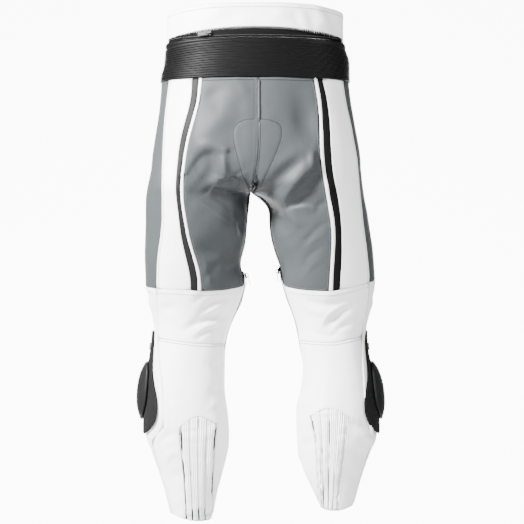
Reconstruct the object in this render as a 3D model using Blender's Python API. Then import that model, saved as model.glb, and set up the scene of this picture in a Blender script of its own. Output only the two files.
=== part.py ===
"""Leather motorcycle trousers, worn shape with nobody inside, for Blender 4.5.

Every cloth piece is a wall of leather on one smooth form. The form is worked out from
the section table below: a half torso that closes into a leg at the crotch. Panels are
blocks of one grid that is laid over the form, so that neighbours share their seam.
Tables are in millimetres; objects are in metres, +Z up, the garment's front to -Y.
The height 0 is the waist line, where the wearer's hips hold the garment.
"""

import math
from collections import namedtuple

import bmesh
import bpy
from mathutils import Matrix, Vector

MM = 0.001

# ---------------------------------------------------------------- driving dimensions
LEATHER = 2.0            # wall of leather with its lining
SEAM_GAP = 0.3           # between neighbouring pieces, and under what lies on a panel
CURVE_GAP = 0.9          # under what lies across the facets of a strongly rounded panel
CROTCH_Z = -298.0        # height of the crotch point
RIB_COUNT = 16           # rolls of the stretch panel under the waist
RIB_HEIGHT = 2.4         # how far a roll stands out
TAPE_THICK = 1.2         # zip tape
PLEAT_COUNT = 4          # strips of the pleated calf insert
PLEAT_HEIGHT = 3.0       # at the hem
PLEAT_TOP_SHARE = 0.6    # of that height, at the insert's top
PAD_HEIGHT = 3.0         # seat pad under the leather
LEG_ZIP_WIDTH = 14.0
FLY_WIDTH = 26.0
LOOP_THICK = 1.6         # hook and loop base of the knee slider
LOOP_GAP = 2.0           # under the base, over the leg's facets
TAB_THICK = 1.6
PUCK_RIM = 4.0           # knee slider at its rim
PUCK_DOME = 14.0         # and how much more in its middle
PUCK_DOME_POWER = 2.6    # how flat the dome is on top

# ---------------------------------------------------------------- tables of the form
# One row for each section. left and right are how far the silhouette stands from the
# middle plane, front and back are the depths. lobe is where the deepest place of a side
# stands, as a share of the way from the middle seam to the silhouette. wrap is 0 where
# the half torso ends on the middle seam and 1 where it has closed into a leg. square is
# the exponent of the rounded section, twist turns the leg's long seams (degrees).
Section = namedtuple("Section", "z left right front back lobe wrap square twist")
SECTIONS = [
    Section(70, 171, 168, -97, 97, 0.0, 0.0, 2.15, 0),
    Section(39, 174, 171, -100, 99, 0.0, 0.0, 2.15, 0),
    Section(0, 173.5, 170.5, -102, 101, 0.0, 0.0, 2.15, 0),
    Section(-39, 177, 178, -106, 104, 0.0, 0.0, 2.15, 0),
    Section(-78, 184, 181, -110, 108, 0.0, 0.0, 2.2, 0),
    Section(-117, 187, 185, -114, 115, 0.03, 0.03, 2.25, 0),
    Section(-156, 191, 190, -116, 122, 0.09, 0.08, 2.3, 0),
    Section(-195, 198, 199, -117, 127, 0.18, 0.15, 2.3, 0),
    Section(-234, 203, 204, -116, 128, 0.29, 0.25, 2.3, 0),
    Section(-263, 207, 206, -113, 126, 0.38, 0.4, 2.3, 0),
    Section(-281, 211, 207, -110, 123, 0.44, 0.58, 2.3, 0),
    Section(-292, 213, 209, -107, 120, 0.475, 0.8, 2.25, 0),
    Section(-298, 214, 210, -106, 118, 0.49, 1.0, 2.2, 0),
    Section(-308, 215, 211, -105, 114, 0.5, 1.0, 2.15, 0),
    Section(-324, 216, 215, -104, 110, 0.5, 1.0, 2.15, 0),
    Section(-355, 216, 220, -103, 104, 0.5, 1.0, 2.1, 0),
    Section(-402, 218, 228, -102, 94, 0.5, 1.0, 2.1, 0),
    Section(-433, 218, 231, -101, 87, 0.5, 1.0, 2.1, 0),
    Section(-464, 217, 234, -100, 79, 0.5, 1.0, 2.1, 0),
    Section(-488, 217, 233, -99, 71, 0.5, 1.0, 2.1, 4),
    Section(-511, 211, 230, -97, 62, 0.5, 1.0, 2.1, 8),
    Section(-542, 201, 221, -94, 53, 0.5, 1.0, 2.1, 13),
    Section(-573, 201, 215, -90, 50, 0.5, 1.0, 2.1, 17),
    Section(-605, 204, 217, -86, 52, 0.5, 1.0, 2.1, 20),
    Section(-651, 210, 226, -77, 58, 0.5, 1.0, 2.1, 24),
    Section(-698, 214, 232, -68, 64, 0.5, 1.0, 2.1, 26),
    Section(-745, 217, 238, -60, 66, 0.5, 1.0, 2.1, 28),
    Section(-776, 215, 237, -57, 64, 0.5, 1.0, 2.1, 28),
    Section(-800, 205, 228, -55, 61, 0.5, 1.0, 2.1, 28),
    Section(-823, 193, 212, -54, 58, 0.5, 1.0, 2.1, 28),
    Section(-870, 181, 201, -54, 51, 0.5, 1.0, 2.05, 28),
    Section(-917, 168, 186, -54, 46, 0.5, 1.0, 2.0, 28),
    Section(-960, 158, 174, -55, 43, 0.5, 1.0, 2.0, 28),
]

# The middle seam leans to the wearer's right at the seat and back at the crotch.
# x is measured to the wearer's left.
Middle = namedtuple("Middle", "z x")
MIDDLE_SEAM = [
    Middle(70, -6), Middle(-215, -6), Middle(-235, -5), Middle(-263, -1),
    Middle(-281, 4), Middle(-292, 8), Middle(-298, 10),
]

# The inner side of each leg, measured outwards from the middle plane.
Inner = namedtuple("Inner", "z left right")
INSEAMS = [
    Inner(-298, 10, -10),
    Inner(-308, 11, 3),
    Inner(-320, 12, 22),
    Inner(-330, 14, 25),
    Inner(-355, 16, 25),
    Inner(-402, 21, 33),
    Inner(-433, 31, 43),
    Inner(-452, 27, 50),
    Inner(-464, 22, 48),
    Inner(-488, 19.5, 54),
    Inner(-511, 29, 64),
    Inner(-542, 45, 76),
    Inner(-573, 56, 82),
    Inner(-605, 61, 85),
    Inner(-651, 58, 94),
    Inner(-670, 59, 92),
    Inner(-698, 60, 74),
    Inner(-745, 47, 72),
    Inner(-776, 45, 73),
    Inner(-800, 48, 73),
    Inner(-823, 55, 80),
    Inner(-870, 70, 105),
    Inner(-917, 82, 127),
    Inner(-960, 90, 140),
]

# Seams that run down the back of each leg, measured outwards from the middle plane:
# side panel to wide stripe, wide stripe to dark stripe, dark stripe to narrow stripe
# and narrow stripe to seat panel. Under the knee they carry on as calf seams.
Stripe = namedtuple("Stripe", "z side wide dark narrow")
STRIPES = {
    "L": [
        Stripe(-40, 167, 120, 107, 101), Stripe(-92, 167, 121, 108, 102),
        Stripe(-127, 172, 122, 111, 105), Stripe(-165, 176, 133, 121, 115),
        Stripe(-203, 177, 146, 134, 128), Stripe(-241, 178, 150, 141, 136),
        Stripe(-278, 178, 150, 142, 136), Stripe(-316, 178, 148, 140, 135),
        Stripe(-353, 178, 144, 135, 130), Stripe(-391, 183, 140, 129, 124),
        Stripe(-429, 189, 131, 118, 112), Stripe(-467, 191, 124, 110, 104),
        Stripe(-490, 191, 124, 111, 104), Stripe(-580, 192, 135, 118, 104),
        Stripe(-600, 190, 140, 122, 106), Stripe(-648, 184, 146, 126, 108),
        Stripe(-685, 178, 149, 128, 109), Stripe(-722, 174, 150, 129, 110),
        Stripe(-750, 177, 148, 128, 108), Stripe(-768, 190, 147, 127, 108),
        Stripe(-778, 203, 146, 126, 107), Stripe(-800, 199, 143, 125, 107),
        Stripe(-870, 177, 137, 122, 106), Stripe(-935, 160, 135, 120, 105),
    ],
    "R": [
        Stripe(-40, 165, 122, 115, 108), Stripe(-92, 169, 127, 117, 110),
        Stripe(-127, 174, 136, 125, 118), Stripe(-165, 182, 141, 128, 121),
        Stripe(-203, 189, 141, 128, 120), Stripe(-241, 195, 143, 129, 122),
        Stripe(-278, 198, 148, 135, 128), Stripe(-316, 202, 156, 141, 134),
        Stripe(-353, 206, 161, 149, 141), Stripe(-391, 211, 163, 151, 144),
        Stripe(-429, 216, 163, 149, 142), Stripe(-467, 219, 161, 147, 140),
        Stripe(-490, 219, 160, 147, 139), Stripe(-580, 205, 166, 150, 138),
        Stripe(-600, 205, 169, 152, 138), Stripe(-648, 207, 174, 154, 137),
        Stripe(-700, 209, 176, 155, 136), Stripe(-727, 211, 177, 155, 135),
        Stripe(-745, 216, 176, 154, 134), Stripe(-760, 226, 174, 153, 134),
        Stripe(-776, 226, 172, 152, 134), Stripe(-800, 219, 168, 149, 133),
        Stripe(-870, 198, 160, 146, 132), Stripe(-920, 180, 156, 142, 130),
    ],
}

# Seams that run round the body, as heights where they cross the nine long lines:
# front edge, inner front, outer front, side, wide, dark, narrow, inner back, back edge.
Around = namedtuple("Around", "front1 front2 front3 side wide dark narrow back2 back1")
SEAMS = {
    "L": {
        "yoke_top": Around(44, 44, 47, 50, 55, 56, 57, 58, 58),
        "waist": Around(-9, -9, -9, -9, -9, -9, -9, -9, -9),
        "rib_foot": Around(-85, -85, -85, -85, -85, -85, -85, -85, -85),
        "crotch": Around(*[CROTCH_Z] * 9),
        "knee": Around(-470, -462, -474, -484, -487, -489, -489, -479, -470),
        "calf": Around(-600, -606, -592, -580, -587, -589, -590, -592, -600),
        "insert": Around(-735, -735, -740, -748, -750, -733, -727, -742, -735),
        "hem": Around(-911, -909, -913, -921, -928, -931, -933, -930, -911),
    },
    "R": {
        "yoke_top": Around(44, 44, 47, 50, 55, 56, 57, 58, 58),
        "waist": Around(-9, -9, -9, -9, -9, -9, -9, -9, -9),
        "rib_foot": Around(-85, -85, -85, -85, -85, -85, -85, -85, -85),
        "crotch": Around(*[CROTCH_Z] * 9),
        "knee": Around(-459, -452, -462, -472, -486, -489, -489, -480, -459),
        "calf": Around(-600, -606, -590, -577, -585, -588, -588, -586, -600),
        "insert": Around(-720, -720, -722, -726, -727, -713, -712, -727, -720),
        "hem": Around(-890, -888, -896, -906, -911, -912, -912, -905, -890),
    },
}

# Folds of the leather on the back of the legs: a soft ridge (height above 0) or a
# trough along a line from one point to another. x is measured outwards.
Fold = namedtuple("Fold", "x1 z1 x2 z2 width height")
FOLDS = {
    "L": [
        Fold(36, -110, 105, -200, 20, 3.5),
        Fold(140, -225, 84, -318, 24, -9.0),
        Fold(66, -236, 66, -284, 16, 6.0),
        Fold(20, -306, 58, -306, 14, -12.0),
        Fold(120, -330, 40, -372, 18, 4.0),
        Fold(150, -300, 120, -440, 22, 3.0),
        Fold(42, -500, 107, -530, 8, -3.0),
        Fold(62, -538, 126, -566, 8, -3.0),
    ],
    "R": [
        Fold(80, -118, 92, -185, 22, -5.0),
        Fold(54, -318, 104, -246, 17, 8.0),
        Fold(78, -326, 124, -262, 17, -8.0),
        Fold(52, -326, 82, -368, 14, 4.5),
        Fold(8, -322, 42, -340, 14, -11.0),
        Fold(126, -322, 92, -402, 14, -3.5),
        Fold(160, -500, 146, -548, 10, -3.0),
        Fold(112, -508, 156, -540, 9, 2.5),
    ],
}

# Half width of the seat pad, which is quilted in under the seat leather.
Pad = namedtuple("Pad", "z half")
SEAT_PAD = [
    Pad(-160, 0), Pad(-168, 24), Pad(-176, 38), Pad(-188, 46), Pad(-205, 45),
    Pad(-225, 38), Pad(-245, 28), Pad(-262, 18), Pad(-285, 10), Pad(-296, 0),
]
PAD_MIDDLE_X = -5.0
PAD_SOFT_EDGE = 9.0
MIDDLE_FADE = 25.0       # beside the middle seam, where relief stops moving across
CROTCH_FADE = 16.0
BACK_FADE = 25.0         # behind the side line, where the folds come up to their height

# Outline of the knee slider and of its base, as the angles where they end on the leg
# (0 is the outer side, 90 the back).
Outline = namedtuple("Outline", "z front back")
LOOP_OUTLINE = [
    Outline(-566, 0, 18), Outline(-580, -6, 23), Outline(-600, -18, 25),
    Outline(-622, -40, 27), Outline(-645, -58, 30), Outline(-672, -68, 40),
    Outline(-700, -70, 50), Outline(-726, -64, 51), Outline(-745, -50, 45),
    Outline(-756, -38, 35), Outline(-765, -24, 18),
]
PUCK_OUTLINE = [
    Outline(-628, -36, 12), Outline(-640, -50, 22), Outline(-662, -58, 25),
    Outline(-690, -58, 26), Outline(-712, -54, 24), Outline(-730, -46, 14),
    Outline(-740, -34, -2),
]
SLIDER_TAB = Outline(-598, -2, 20)
SLIDER_TAB_HEIGHT = 14.0
Cells = namedtuple("Cells", "across down")
LOOP_CELLS, PUCK_CELLS, TAB_CELLS = Cells(10, 12), Cells(8, 9), Cells(3, 2)

# ---------------------------------------------------------------- colours
Finish = namedtuple("Finish", "colour roughness metallic")
FINISHES = {
    "white_leather": Finish((0.83, 0.83, 0.83), 0.42, 0.0),
    "grey_leather": Finish((0.25, 0.27, 0.275), 0.45, 0.0),
    "black_leather": Finish((0.015, 0.015, 0.015), 0.40, 0.0),
    "stretch_fabric": Finish((0.03, 0.03, 0.03), 0.80, 0.0),
    "zip_tape": Finish((0.012, 0.012, 0.012), 0.75, 0.0),
    "hook_and_loop": Finish((0.018, 0.018, 0.018), 0.95, 0.0),
    "slider_plastic": Finish((0.03, 0.03, 0.03), 0.35, 0.0),
    "zip_metal": Finish((0.12, 0.12, 0.12), 0.35, 0.9),
    "tab_rubber": Finish((0.28, 0.28, 0.28), 0.55, 0.0),
}


# ---------------------------------------------------------------- reading the tables
def smooth_value(heights, values, z):
    """Value at z of a smooth curve through a table that goes downwards."""
    last = len(heights) - 1
    if z >= heights[0]:
        return values[0]
    if z <= heights[last]:
        return values[last]
    i = 0
    while z < heights[i + 1]:
        i += 1
    span = heights[i + 1] - heights[i]
    rise = (values[i + 1] - values[i]) / span

    def slope(at):
        if at == 0 or at == last:
            return (values[min(at + 1, last)] - values[max(at - 1, 0)]) / (
                heights[min(at + 1, last)] - heights[max(at - 1, 0)]
            )
        before = (values[at] - values[at - 1]) / (heights[at] - heights[at - 1])
        after = (values[at + 1] - values[at]) / (heights[at + 1] - heights[at])
        if before * after <= 0:
            return 0.0
        return 2 * before * after / (before + after)

    t = (z - heights[i]) / span
    start, end = slope(i), slope(i + 1)
    a = span * (start + end) - 2 * rise * span
    b = 3 * rise * span - span * (2 * start + end)
    return values[i] + t * (span * start + t * (b + t * a))


class Table:
    """Rows with a z column, read at any height."""

    def __init__(self, rows):
        self.heights = [row.z for row in rows]
        self.columns = {
            name: [getattr(row, name) for row in rows]
            for name in rows[0]._fields
            if name != "z"
        }

    def at(self, name, z):
        return smooth_value(self.heights, self.columns[name], z)


SECTION_TABLE = Table(SECTIONS)
MIDDLE_TABLE = Table(MIDDLE_SEAM)
INSEAM_TABLE = Table(INSEAMS)
STRIPE_TABLES = {side: Table(rows) for side, rows in STRIPES.items()}
PAD_TABLE = Table(SEAT_PAD)
LOOP_TABLE = Table(LOOP_OUTLINE)
PUCK_TABLE = Table(PUCK_OUTLINE)

SIDE_SIGN = {"L": 1, "R": -1}
SIDE_COLUMN = {"L": "left", "R": "right"}

Ring = namedtuple("Ring", "middle_x outer_x inner_x middle_y half_y power end twist")


# ---------------------------------------------------------------- the smooth form
def ring(side, z):
    """The rounded section of one side at height z. x is measured outwards."""
    outer = SECTION_TABLE.at(SIDE_COLUMN[side], z)
    if z >= CROTCH_Z:
        seam = SIDE_SIGN[side] * MIDDLE_TABLE.at("x", z)
    else:
        seam = INSEAM_TABLE.at(SIDE_COLUMN[side], z)
    wrap = min(1.0, SECTION_TABLE.at("wrap", z))
    lobe = SECTION_TABLE.at("lobe", z)
    square = SECTION_TABLE.at("square", z)
    front = SECTION_TABLE.at("front", z)
    back = SECTION_TABLE.at("back", z)
    middle = seam + (outer - seam) * lobe
    inner_x = (middle - seam) / wrap if wrap else outer - middle
    end = math.pi - math.acos(wrap ** (square / 2))
    twist = math.radians(SECTION_TABLE.at("twist", z))
    return Ring(middle, outer - middle, inner_x, (front + back) / 2, (back - front) / 2,
                2 / square, end, twist)


def rounded(value, power):
    return math.copysign(abs(value) ** power, value)


def form_point(side, angle, z):
    """A point of the smooth form. angle is 0 on the outer side and 90 degrees at the
    back; x is measured outwards."""
    r = ring(side, z)
    half_x = r.outer_x if math.cos(angle) > 0 else r.inner_x
    x = r.middle_x + half_x * rounded(math.cos(angle), r.power)
    y = r.middle_y + r.half_y * rounded(math.sin(angle), r.power)
    return Vector((x, y, z))


def form_normal(side, angle, z):
    """Outward normal of the smooth form, by small steps along it."""
    turn = math.radians(0.8)
    rise = 2.0
    around = form_point(side, angle + turn, z) - form_point(side, angle - turn, z)
    r_up = form_point(side, angle, z + rise)
    r_down = form_point(side, angle, z - rise)
    if z - rise < CROTCH_Z <= z + rise:
        r_up = form_point(side, angle, z) + Vector((0, 0, rise))
        r_down = form_point(side, angle, z) - Vector((0, 0, rise))
    return around.cross(r_up - r_down).normalized()


def angle_at(side, x, z, face):
    """Angle where the form stands x outwards, on its back (face 1) or front (-1)."""
    r = ring(side, z)
    half_x = r.outer_x if x > r.middle_x else r.inner_x
    reach = max(-1.0, min(1.0, (x - r.middle_x) / half_x))
    return face * math.acos(rounded(reach, 1 / r.power))


def soft_step(value):
    t = max(0.0, min(1.0, value))
    return t * t * (3 - 2 * t)


def folds_at(folds, x, z):
    """Height at one point of a list of folds."""
    total = 0.0
    for fold in folds:
        along = Vector((fold.x2 - fold.x1, fold.z2 - fold.z1))
        at = Vector((x - fold.x1, z - fold.z1))
        t = max(0.0, min(1.0, at.dot(along) / along.length_squared))
        away = (at - along * t).length / fold.width
        total += fold.height * math.exp(-away * away)
    return total


def fold_relief(side, point):
    """Height of the folds over the form, on the back half only. Over the crotch the
    other side's folds reach across the middle seam."""
    backness = soft_step((point.y - ring(side, point.z).middle_y) / BACK_FADE)
    other = "R" if side == "L" else "L"
    shared = soft_step((point.z - CROTCH_Z) / CROTCH_FADE + 1)
    total = folds_at(FOLDS[side], point.x, point.z)
    total += shared * folds_at(FOLDS[other], -point.x, point.z)
    return total * backness


def pad_relief(side, point):
    """Height of the seat pad over the form."""
    if not SEAT_PAD[-1].z < point.z < SEAT_PAD[0].z or point.y < 0:
        return 0.0
    aside = abs(SIDE_SIGN[side] * point.x - PAD_MIDDLE_X)
    inside = PAD_TABLE.at("half", point.z) - aside
    return PAD_HEIGHT * soft_step(inside / PAD_SOFT_EDGE + 0.5)


def seam_fade(side, point):
    """0 on the middle seam and 1 away from it or under the crotch."""
    middle = SIDE_SIGN[side] * MIDDLE_TABLE.at("x", point.z)
    return max(soft_step((point.x - middle) / MIDDLE_FADE),
               soft_step((CROTCH_Z - point.z) / CROTCH_FADE))


def surface(side, angle, z):
    """Point and normal of the garment's outside, folds and pad included. Beside the
    middle seam relief doesn't move across it, so that both sides stay joined."""
    point = form_point(side, angle, z)
    normal = form_normal(side, angle, z)
    height = fold_relief(side, point) + pad_relief(side, point)
    push = Vector((normal.x * seam_fade(side, point), normal.y, normal.z))
    return point + push * height, normal


def to_world(side, vector):
    return Vector((SIDE_SIGN[side] * vector.x, vector.y, vector.z))


# ---------------------------------------------------------------- the grid of seams
LINES = ("front1", "front2", "front3", "side", "wide", "dark", "narrow", "back2", "back1")
CELLS = (2, 7, 8, 3, 1, 1, 7, 2)     # grid cells between one line and the next
LINE_COLUMN = dict(zip(LINES, [sum(CELLS[:i]) for i in range(len(LINES))]))
LAST_COLUMN = LINE_COLUMN["back1"]
GUSSET_SHARE = 0.84      # where the inner stretch panel's front ends, of the way to the seam
GUSSET_TWIST = 0.5       # share of the leg's twist that its back edge takes
# The same share at the panel's back, which leaves the stretch out of sight from behind.
BackSeam = namedtuple("BackSeam", "z share")
BACK_SEAM = [BackSeam(-250, 0.955), BackSeam(-420, 0.955), BackSeam(-480, 0.9),
             BackSeam(-530, 0.84)]
BACK_SEAM_TABLE = Table(BACK_SEAM)
# Inner seam of the pleated insert; over it the line runs back to the stretch panel's.
InsertSeam = namedtuple("InsertSeam", "z x")
INSERT_SEAMS = {
    "L": [InsertSeam(-690, 68), InsertSeam(-735, 73), InsertSeam(-795, 78.5),
          InsertSeam(-890, 83.5), InsertSeam(-933, 84.5)],
    "R": [InsertSeam(-690, 100), InsertSeam(-728, 104), InsertSeam(-775, 112.5),
          InsertSeam(-858, 118), InsertSeam(-912, 119)],
}
INSERT_SEAM_TABLES = {side: Table(rows) for side, rows in INSERT_SEAMS.items()}
INSERT_SEAM_FROM, INSERT_SEAM_TO = -590.0, -700.0
FrontSeam = namedtuple("FrontSeam", "z angle")
FRONT_SEAM = [FrontSeam(-300, -52), FrontSeam(-480, -56), FrontSeam(-570, -78),
              FrontSeam(-760, -78), FrontSeam(-900, -70)]
FRONT_SEAM_TABLE = Table(FRONT_SEAM)

Band = namedtuple("Band", "top foot shares")
BANDS = {
    "yoke": Band("yoke_top", "waist", (0, 0.25, 0.5, 0.75, 1)),
    "seat": Band("rib_foot", "crotch", (0, 0.2, 0.4, 0.58, 0.74, 0.87, 0.95, 1)),
    "thigh": Band("crotch", "knee", (0, 0.03, 0.08, 0.18, 0.32, 0.47, 0.62, 0.77, 0.89, 1)),
    "knee": Band("knee", "calf", (0, 0.33, 0.67, 1)),
    "calf": Band("calf", "insert", (0, 0.33, 0.67, 1)),
    "ankle": Band("insert", "hem", (0, 0.16, 0.34, 0.56, 0.8, 1)),
    "rib": Band("waist", "rib_foot", (0, 0.5, 1)),
}


def line_angles(side, z):
    """Angles of the nine long lines at height z."""
    r = ring(side, z)
    stripes = STRIPE_TABLES[side]
    backs = [angle_at(side, stripes.at(name, z), z, 1)
             for name in ("side", "wide", "dark", "narrow")]
    front_inner = GUSSET_SHARE * r.end
    back_inner = BACK_SEAM_TABLE.at("share", z) * r.end
    front = math.radians(FRONT_SEAM_TABLE.at("angle", z))
    back = back_inner + r.twist * GUSSET_TWIST
    down = (INSERT_SEAM_FROM - z) / (INSERT_SEAM_FROM - INSERT_SEAM_TO)
    if down > 0:
        insert = angle_at(side, INSERT_SEAM_TABLES[side].at("x", z), z, 1)
        back += (insert - back) * min(down, 1)
    return [-r.end + r.twist, -front_inner + r.twist, front, *backs, back,
            r.end + r.twist]


def column_angle(side, column, z):
    angles = line_angles(side, z)
    for i, cells in enumerate(CELLS):
        start = LINE_COLUMN[LINES[i]]
        if column <= start + cells:
            t = (column - start) / cells
            return angles[i] + (angles[i + 1] - angles[i]) * t
    return angles[-1]


def seam_height(side, seam, column):
    """Height of a round seam at a column, smooth between the long lines."""
    values = SEAMS[side][seam]
    places = [-LINE_COLUMN[name] for name in LINES]
    return smooth_value(places, list(values), -column)


def cell_height(side, band, share, column):
    top = seam_height(side, BANDS[band].top, column)
    foot = seam_height(side, BANDS[band].foot, column)
    return top + (foot - top) * share


Node = namedtuple("Node", "side column band share")


def node_surface(node):
    z = cell_height(node.side, node.band, node.share, node.column)
    angle = column_angle(node.side, node.column, z)
    point, normal = surface(node.side, angle, z)
    return to_world(node.side, point), to_world(node.side, normal)


def column_range(first, last, fine=1):
    """Columns from one long line to another, each cell split fine times."""
    start, stop = LINE_COLUMN[first], LINE_COLUMN[last]
    return [start + i / fine for i in range((stop - start) * fine + 1)]


def band_rows(*bands):
    """Rows of one or more bands, top to bottom, without the doubled seam rows."""
    rows = []
    for band in bands:
        shares = BANDS[band].shares if not rows else BANDS[band].shares[1:]
        rows += [(band, share) for share in shares]
    return rows


# ---------------------------------------------------------------- making walls
def new_object(name, mesh, finish, smooth_degrees=40):
    mesh.materials.append(finish_material(finish))
    mesh.shade_smooth()
    mesh.set_sharp_from_angle(angle=math.radians(smooth_degrees))
    obj = bpy.data.objects.new(name, mesh)
    bpy.context.scene.collection.objects.link(obj)
    return obj


def finish_material(name):
    material = bpy.data.materials.get(name)
    if material is None:
        material = bpy.data.materials.new(name)
        material.use_nodes = True
        shader = material.node_tree.nodes["Principled BSDF"]
        finish = FINISHES[name]
        shader.inputs["Base Color"].default_value = (*finish.colour, 1.0)
        shader.inputs["Roughness"].default_value = finish.roughness
        shader.inputs["Metallic"].default_value = finish.metallic
        material.diffuse_color = (*finish.colour, 1.0)
    return material


def face_outwards(bm):
    """Turn a closed body so that its faces point out."""
    bmesh.ops.recalc_face_normals(bm, faces=bm.faces[:])
    if bm.calc_volume(signed=True) < 0:
        bmesh.ops.reverse_faces(bm, faces=bm.faces[:])


def cell_step(keep, row, column):
    """Which way a corner point moves to open the seam, as steps in row and column."""
    around = [(a, b) for a in (-1, 1) for b in (-1, 1)
              if keep(row + min(a, 0), column + min(b, 0))]
    if len(around) == 4 or not around:
        return 0, 0
    if len(around) == 3:
        missing = next((a, b) for a in (-1, 1) for b in (-1, 1) if (a, b) not in around)
        return -missing[0], -missing[1]
    rows = {a for a, _ in around}
    columns = {b for _, b in around}
    return (rows.pop() if len(rows) == 1 else 0,
            columns.pop() if len(columns) == 1 else 0)


def split_rim(bm, places):
    """Split the rim's faces along one diagonal, the same on both sides of a seam."""
    for face in list(bm.faces):
        outer = [v for v in face.verts if places[v][2]]
        inner = [v for v in face.verts if not places[v][2]]
        if len(outer) == 2 and len(inner) == 2:
            start = min(outer, key=lambda v: places[v][:2])
            end = max(inner, key=lambda v: places[v][:2])
            bmesh.utils.face_split(face, start, end)


def square_to(step, along):
    """Unit vector of a step, squared to the direction along a seam."""
    return (step - along * (step.dot(along) / along.length_squared)).normalized()


def wall(name, finish, points, normals, keep=None, thick=LEATHER, lift=0.0,
         relief=None, merge_inner_rows=False):
    """A closed wall over a grid of points, row by row. Its outside is at lift above
    the points, plus relief(row, column), and its inside is thick under the lift."""
    row_count, column_count = len(points) - 1, len(points[0]) - 1

    def kept(row, column):
        inside = 0 <= row < row_count and 0 <= column < column_count
        return inside and (keep is None or keep(row, column))

    bm = bmesh.new()
    bmesh.ops.create_grid(bm, x_segments=column_count, y_segments=row_count, size=1.0)
    for face in list(bm.faces):
        middle = face.calc_center_median()
        row = int((1 - middle.y) / 2 * row_count)
        column = int((1 + middle.x) / 2 * column_count)
        if not kept(row, column):
            bm.faces.remove(face)
    bmesh.ops.delete(bm, geom=[v for v in bm.verts if not v.link_faces], context="VERTS")
    bmesh.ops.solidify(bm, geom=bm.faces[:], thickness=0.5)
    flat_z = [v.co.z for v in bm.verts]
    half_way = (min(flat_z) + max(flat_z)) / 2
    places = {}
    for vert in bm.verts:
        row = round((1 - vert.co.y) / 2 * row_count)
        column = round((1 + vert.co.x) / 2 * column_count)
        places[vert] = (row, column, vert.co.z > half_way)

    if merge_inner_rows:
        rungs = [edge for edge in bm.edges
                 if not places[edge.verts[0]][2] and not places[edge.verts[1]][2]
                 and places[edge.verts[0]][0] == places[edge.verts[1]][0]
                 and 0 < places[edge.verts[0]][0] < row_count]
        bmesh.ops.dissolve_edges(bm, edges=rungs, use_verts=True)

    split_rim(bm, places)
    for vert in bm.verts:
        row, column, outside = places[vert]
        point, normal = points[row][column], normals[row][column]
        row_step, column_step = cell_step(kept, row, column)
        shift = Vector()
        if row_step:
            along = points[row][min(column + 1, column_count)] - points[row][max(column - 1, 0)]
            shift += square_to(points[row + row_step][column] - point, along)
        if column_step:
            along = points[min(row + 1, row_count)][column] - points[max(row - 1, 0)][column]
            shift += square_to(points[row][column + column_step] - point, along)
        height = lift + (relief(row, column) if outside and relief else 0.0)
        if not outside:
            height = lift - thick
        vert.co = (point + shift * (SEAM_GAP / 2) + normal * height) * MM
    bmesh.ops.triangulate(bm, faces=bm.faces[:], quad_method="SHORT_EDGE")
    face_outwards(bm)
    mesh = bpy.data.meshes.new(name)
    bm.to_mesh(mesh)
    bm.free()
    return new_object(name, mesh, finish)


def grid_wall(name, finish, rows, nodes_of_row, **options):
    """A wall whose grid nodes are named by side, column, band and share."""
    points, normals = [], []
    for band, share in rows:
        pairs = [node_surface(node) for node in nodes_of_row(band, share)]
        points.append([pair[0] for pair in pairs])
        normals.append([pair[1] for pair in pairs])
    return wall(name, finish, points, normals, **options)


def side_nodes(side, columns):
    return lambda band, share: [Node(side, column, band, share) for column in columns]


def across_back(first):
    """Columns from one long line round the back to the same line on the other side."""
    columns = column_range(first, "back1")

    def nodes(band, share):
        left = [Node("L", column, band, share) for column in columns]
        right = [Node("R", column, band, share) for column in columns[:-1]]
        return left + right[::-1]

    return nodes


# ---------------------------------------------------------------- waist
def make_waist():
    grid_wall("yoke_back", "white_leather", band_rows("yoke"), across_back("front3"))
    for side in "LR":
        grid_wall(f"waistband_front_{side}", "white_leather", band_rows("yoke"),
                  side_nodes(side, column_range("front1", "front3")))
    make_rib_panel()
    make_connection_zip()


def make_rib_panel():
    """Stretch panel with padded rolls under the back yoke."""
    rows = 2 * RIB_COUNT
    columns = column_range("front3", "back1")
    points, normals = [], []
    for row in range(rows + 1):
        pairs = []
        for side, numbers in (("L", columns), ("R", columns[:-1][::-1])):
            for column in numbers:
                top = seam_height(side, "waist", column)
                z = top + (seam_height(side, "rib_foot", column) - top) * row / rows
                point, normal = surface(side, column_angle(side, column, z), z)
                pairs.append((to_world(side, point), to_world(side, normal)))
        points.append([pair[0] for pair in pairs])
        normals.append([pair[1] for pair in pairs])
    wall("rib_panel_back", "black_leather", points, normals, merge_inner_rows=True,
         relief=lambda row, column: RIB_HEIGHT if row % 2 else 0.0)
    for side in "LR":
        grid_wall(f"waist_front_{side}", "black_leather", band_rows("rib"),
                  side_nodes(side, column_range("front1", "front3")))


ZIP_ARCH_MIDDLE = 12.0   # top of the connection zip over the waist line, at the back
ZIP_ARCH_END = -3.5      # and where it ends at the sides
ZIP_ARCH_REACH = 170.0   # from the middle to that end
ZIP_ARCH_POWER = 2.2
ZIP_SEAM_Z = -9.0


def zip_arch(x):
    """Height of the connection zip's teeth, x from the middle plane."""
    aside = (abs(x) / ZIP_ARCH_REACH) ** ZIP_ARCH_POWER
    return ZIP_ARCH_MIDDLE + (ZIP_ARCH_END - ZIP_ARCH_MIDDLE) * aside


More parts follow.
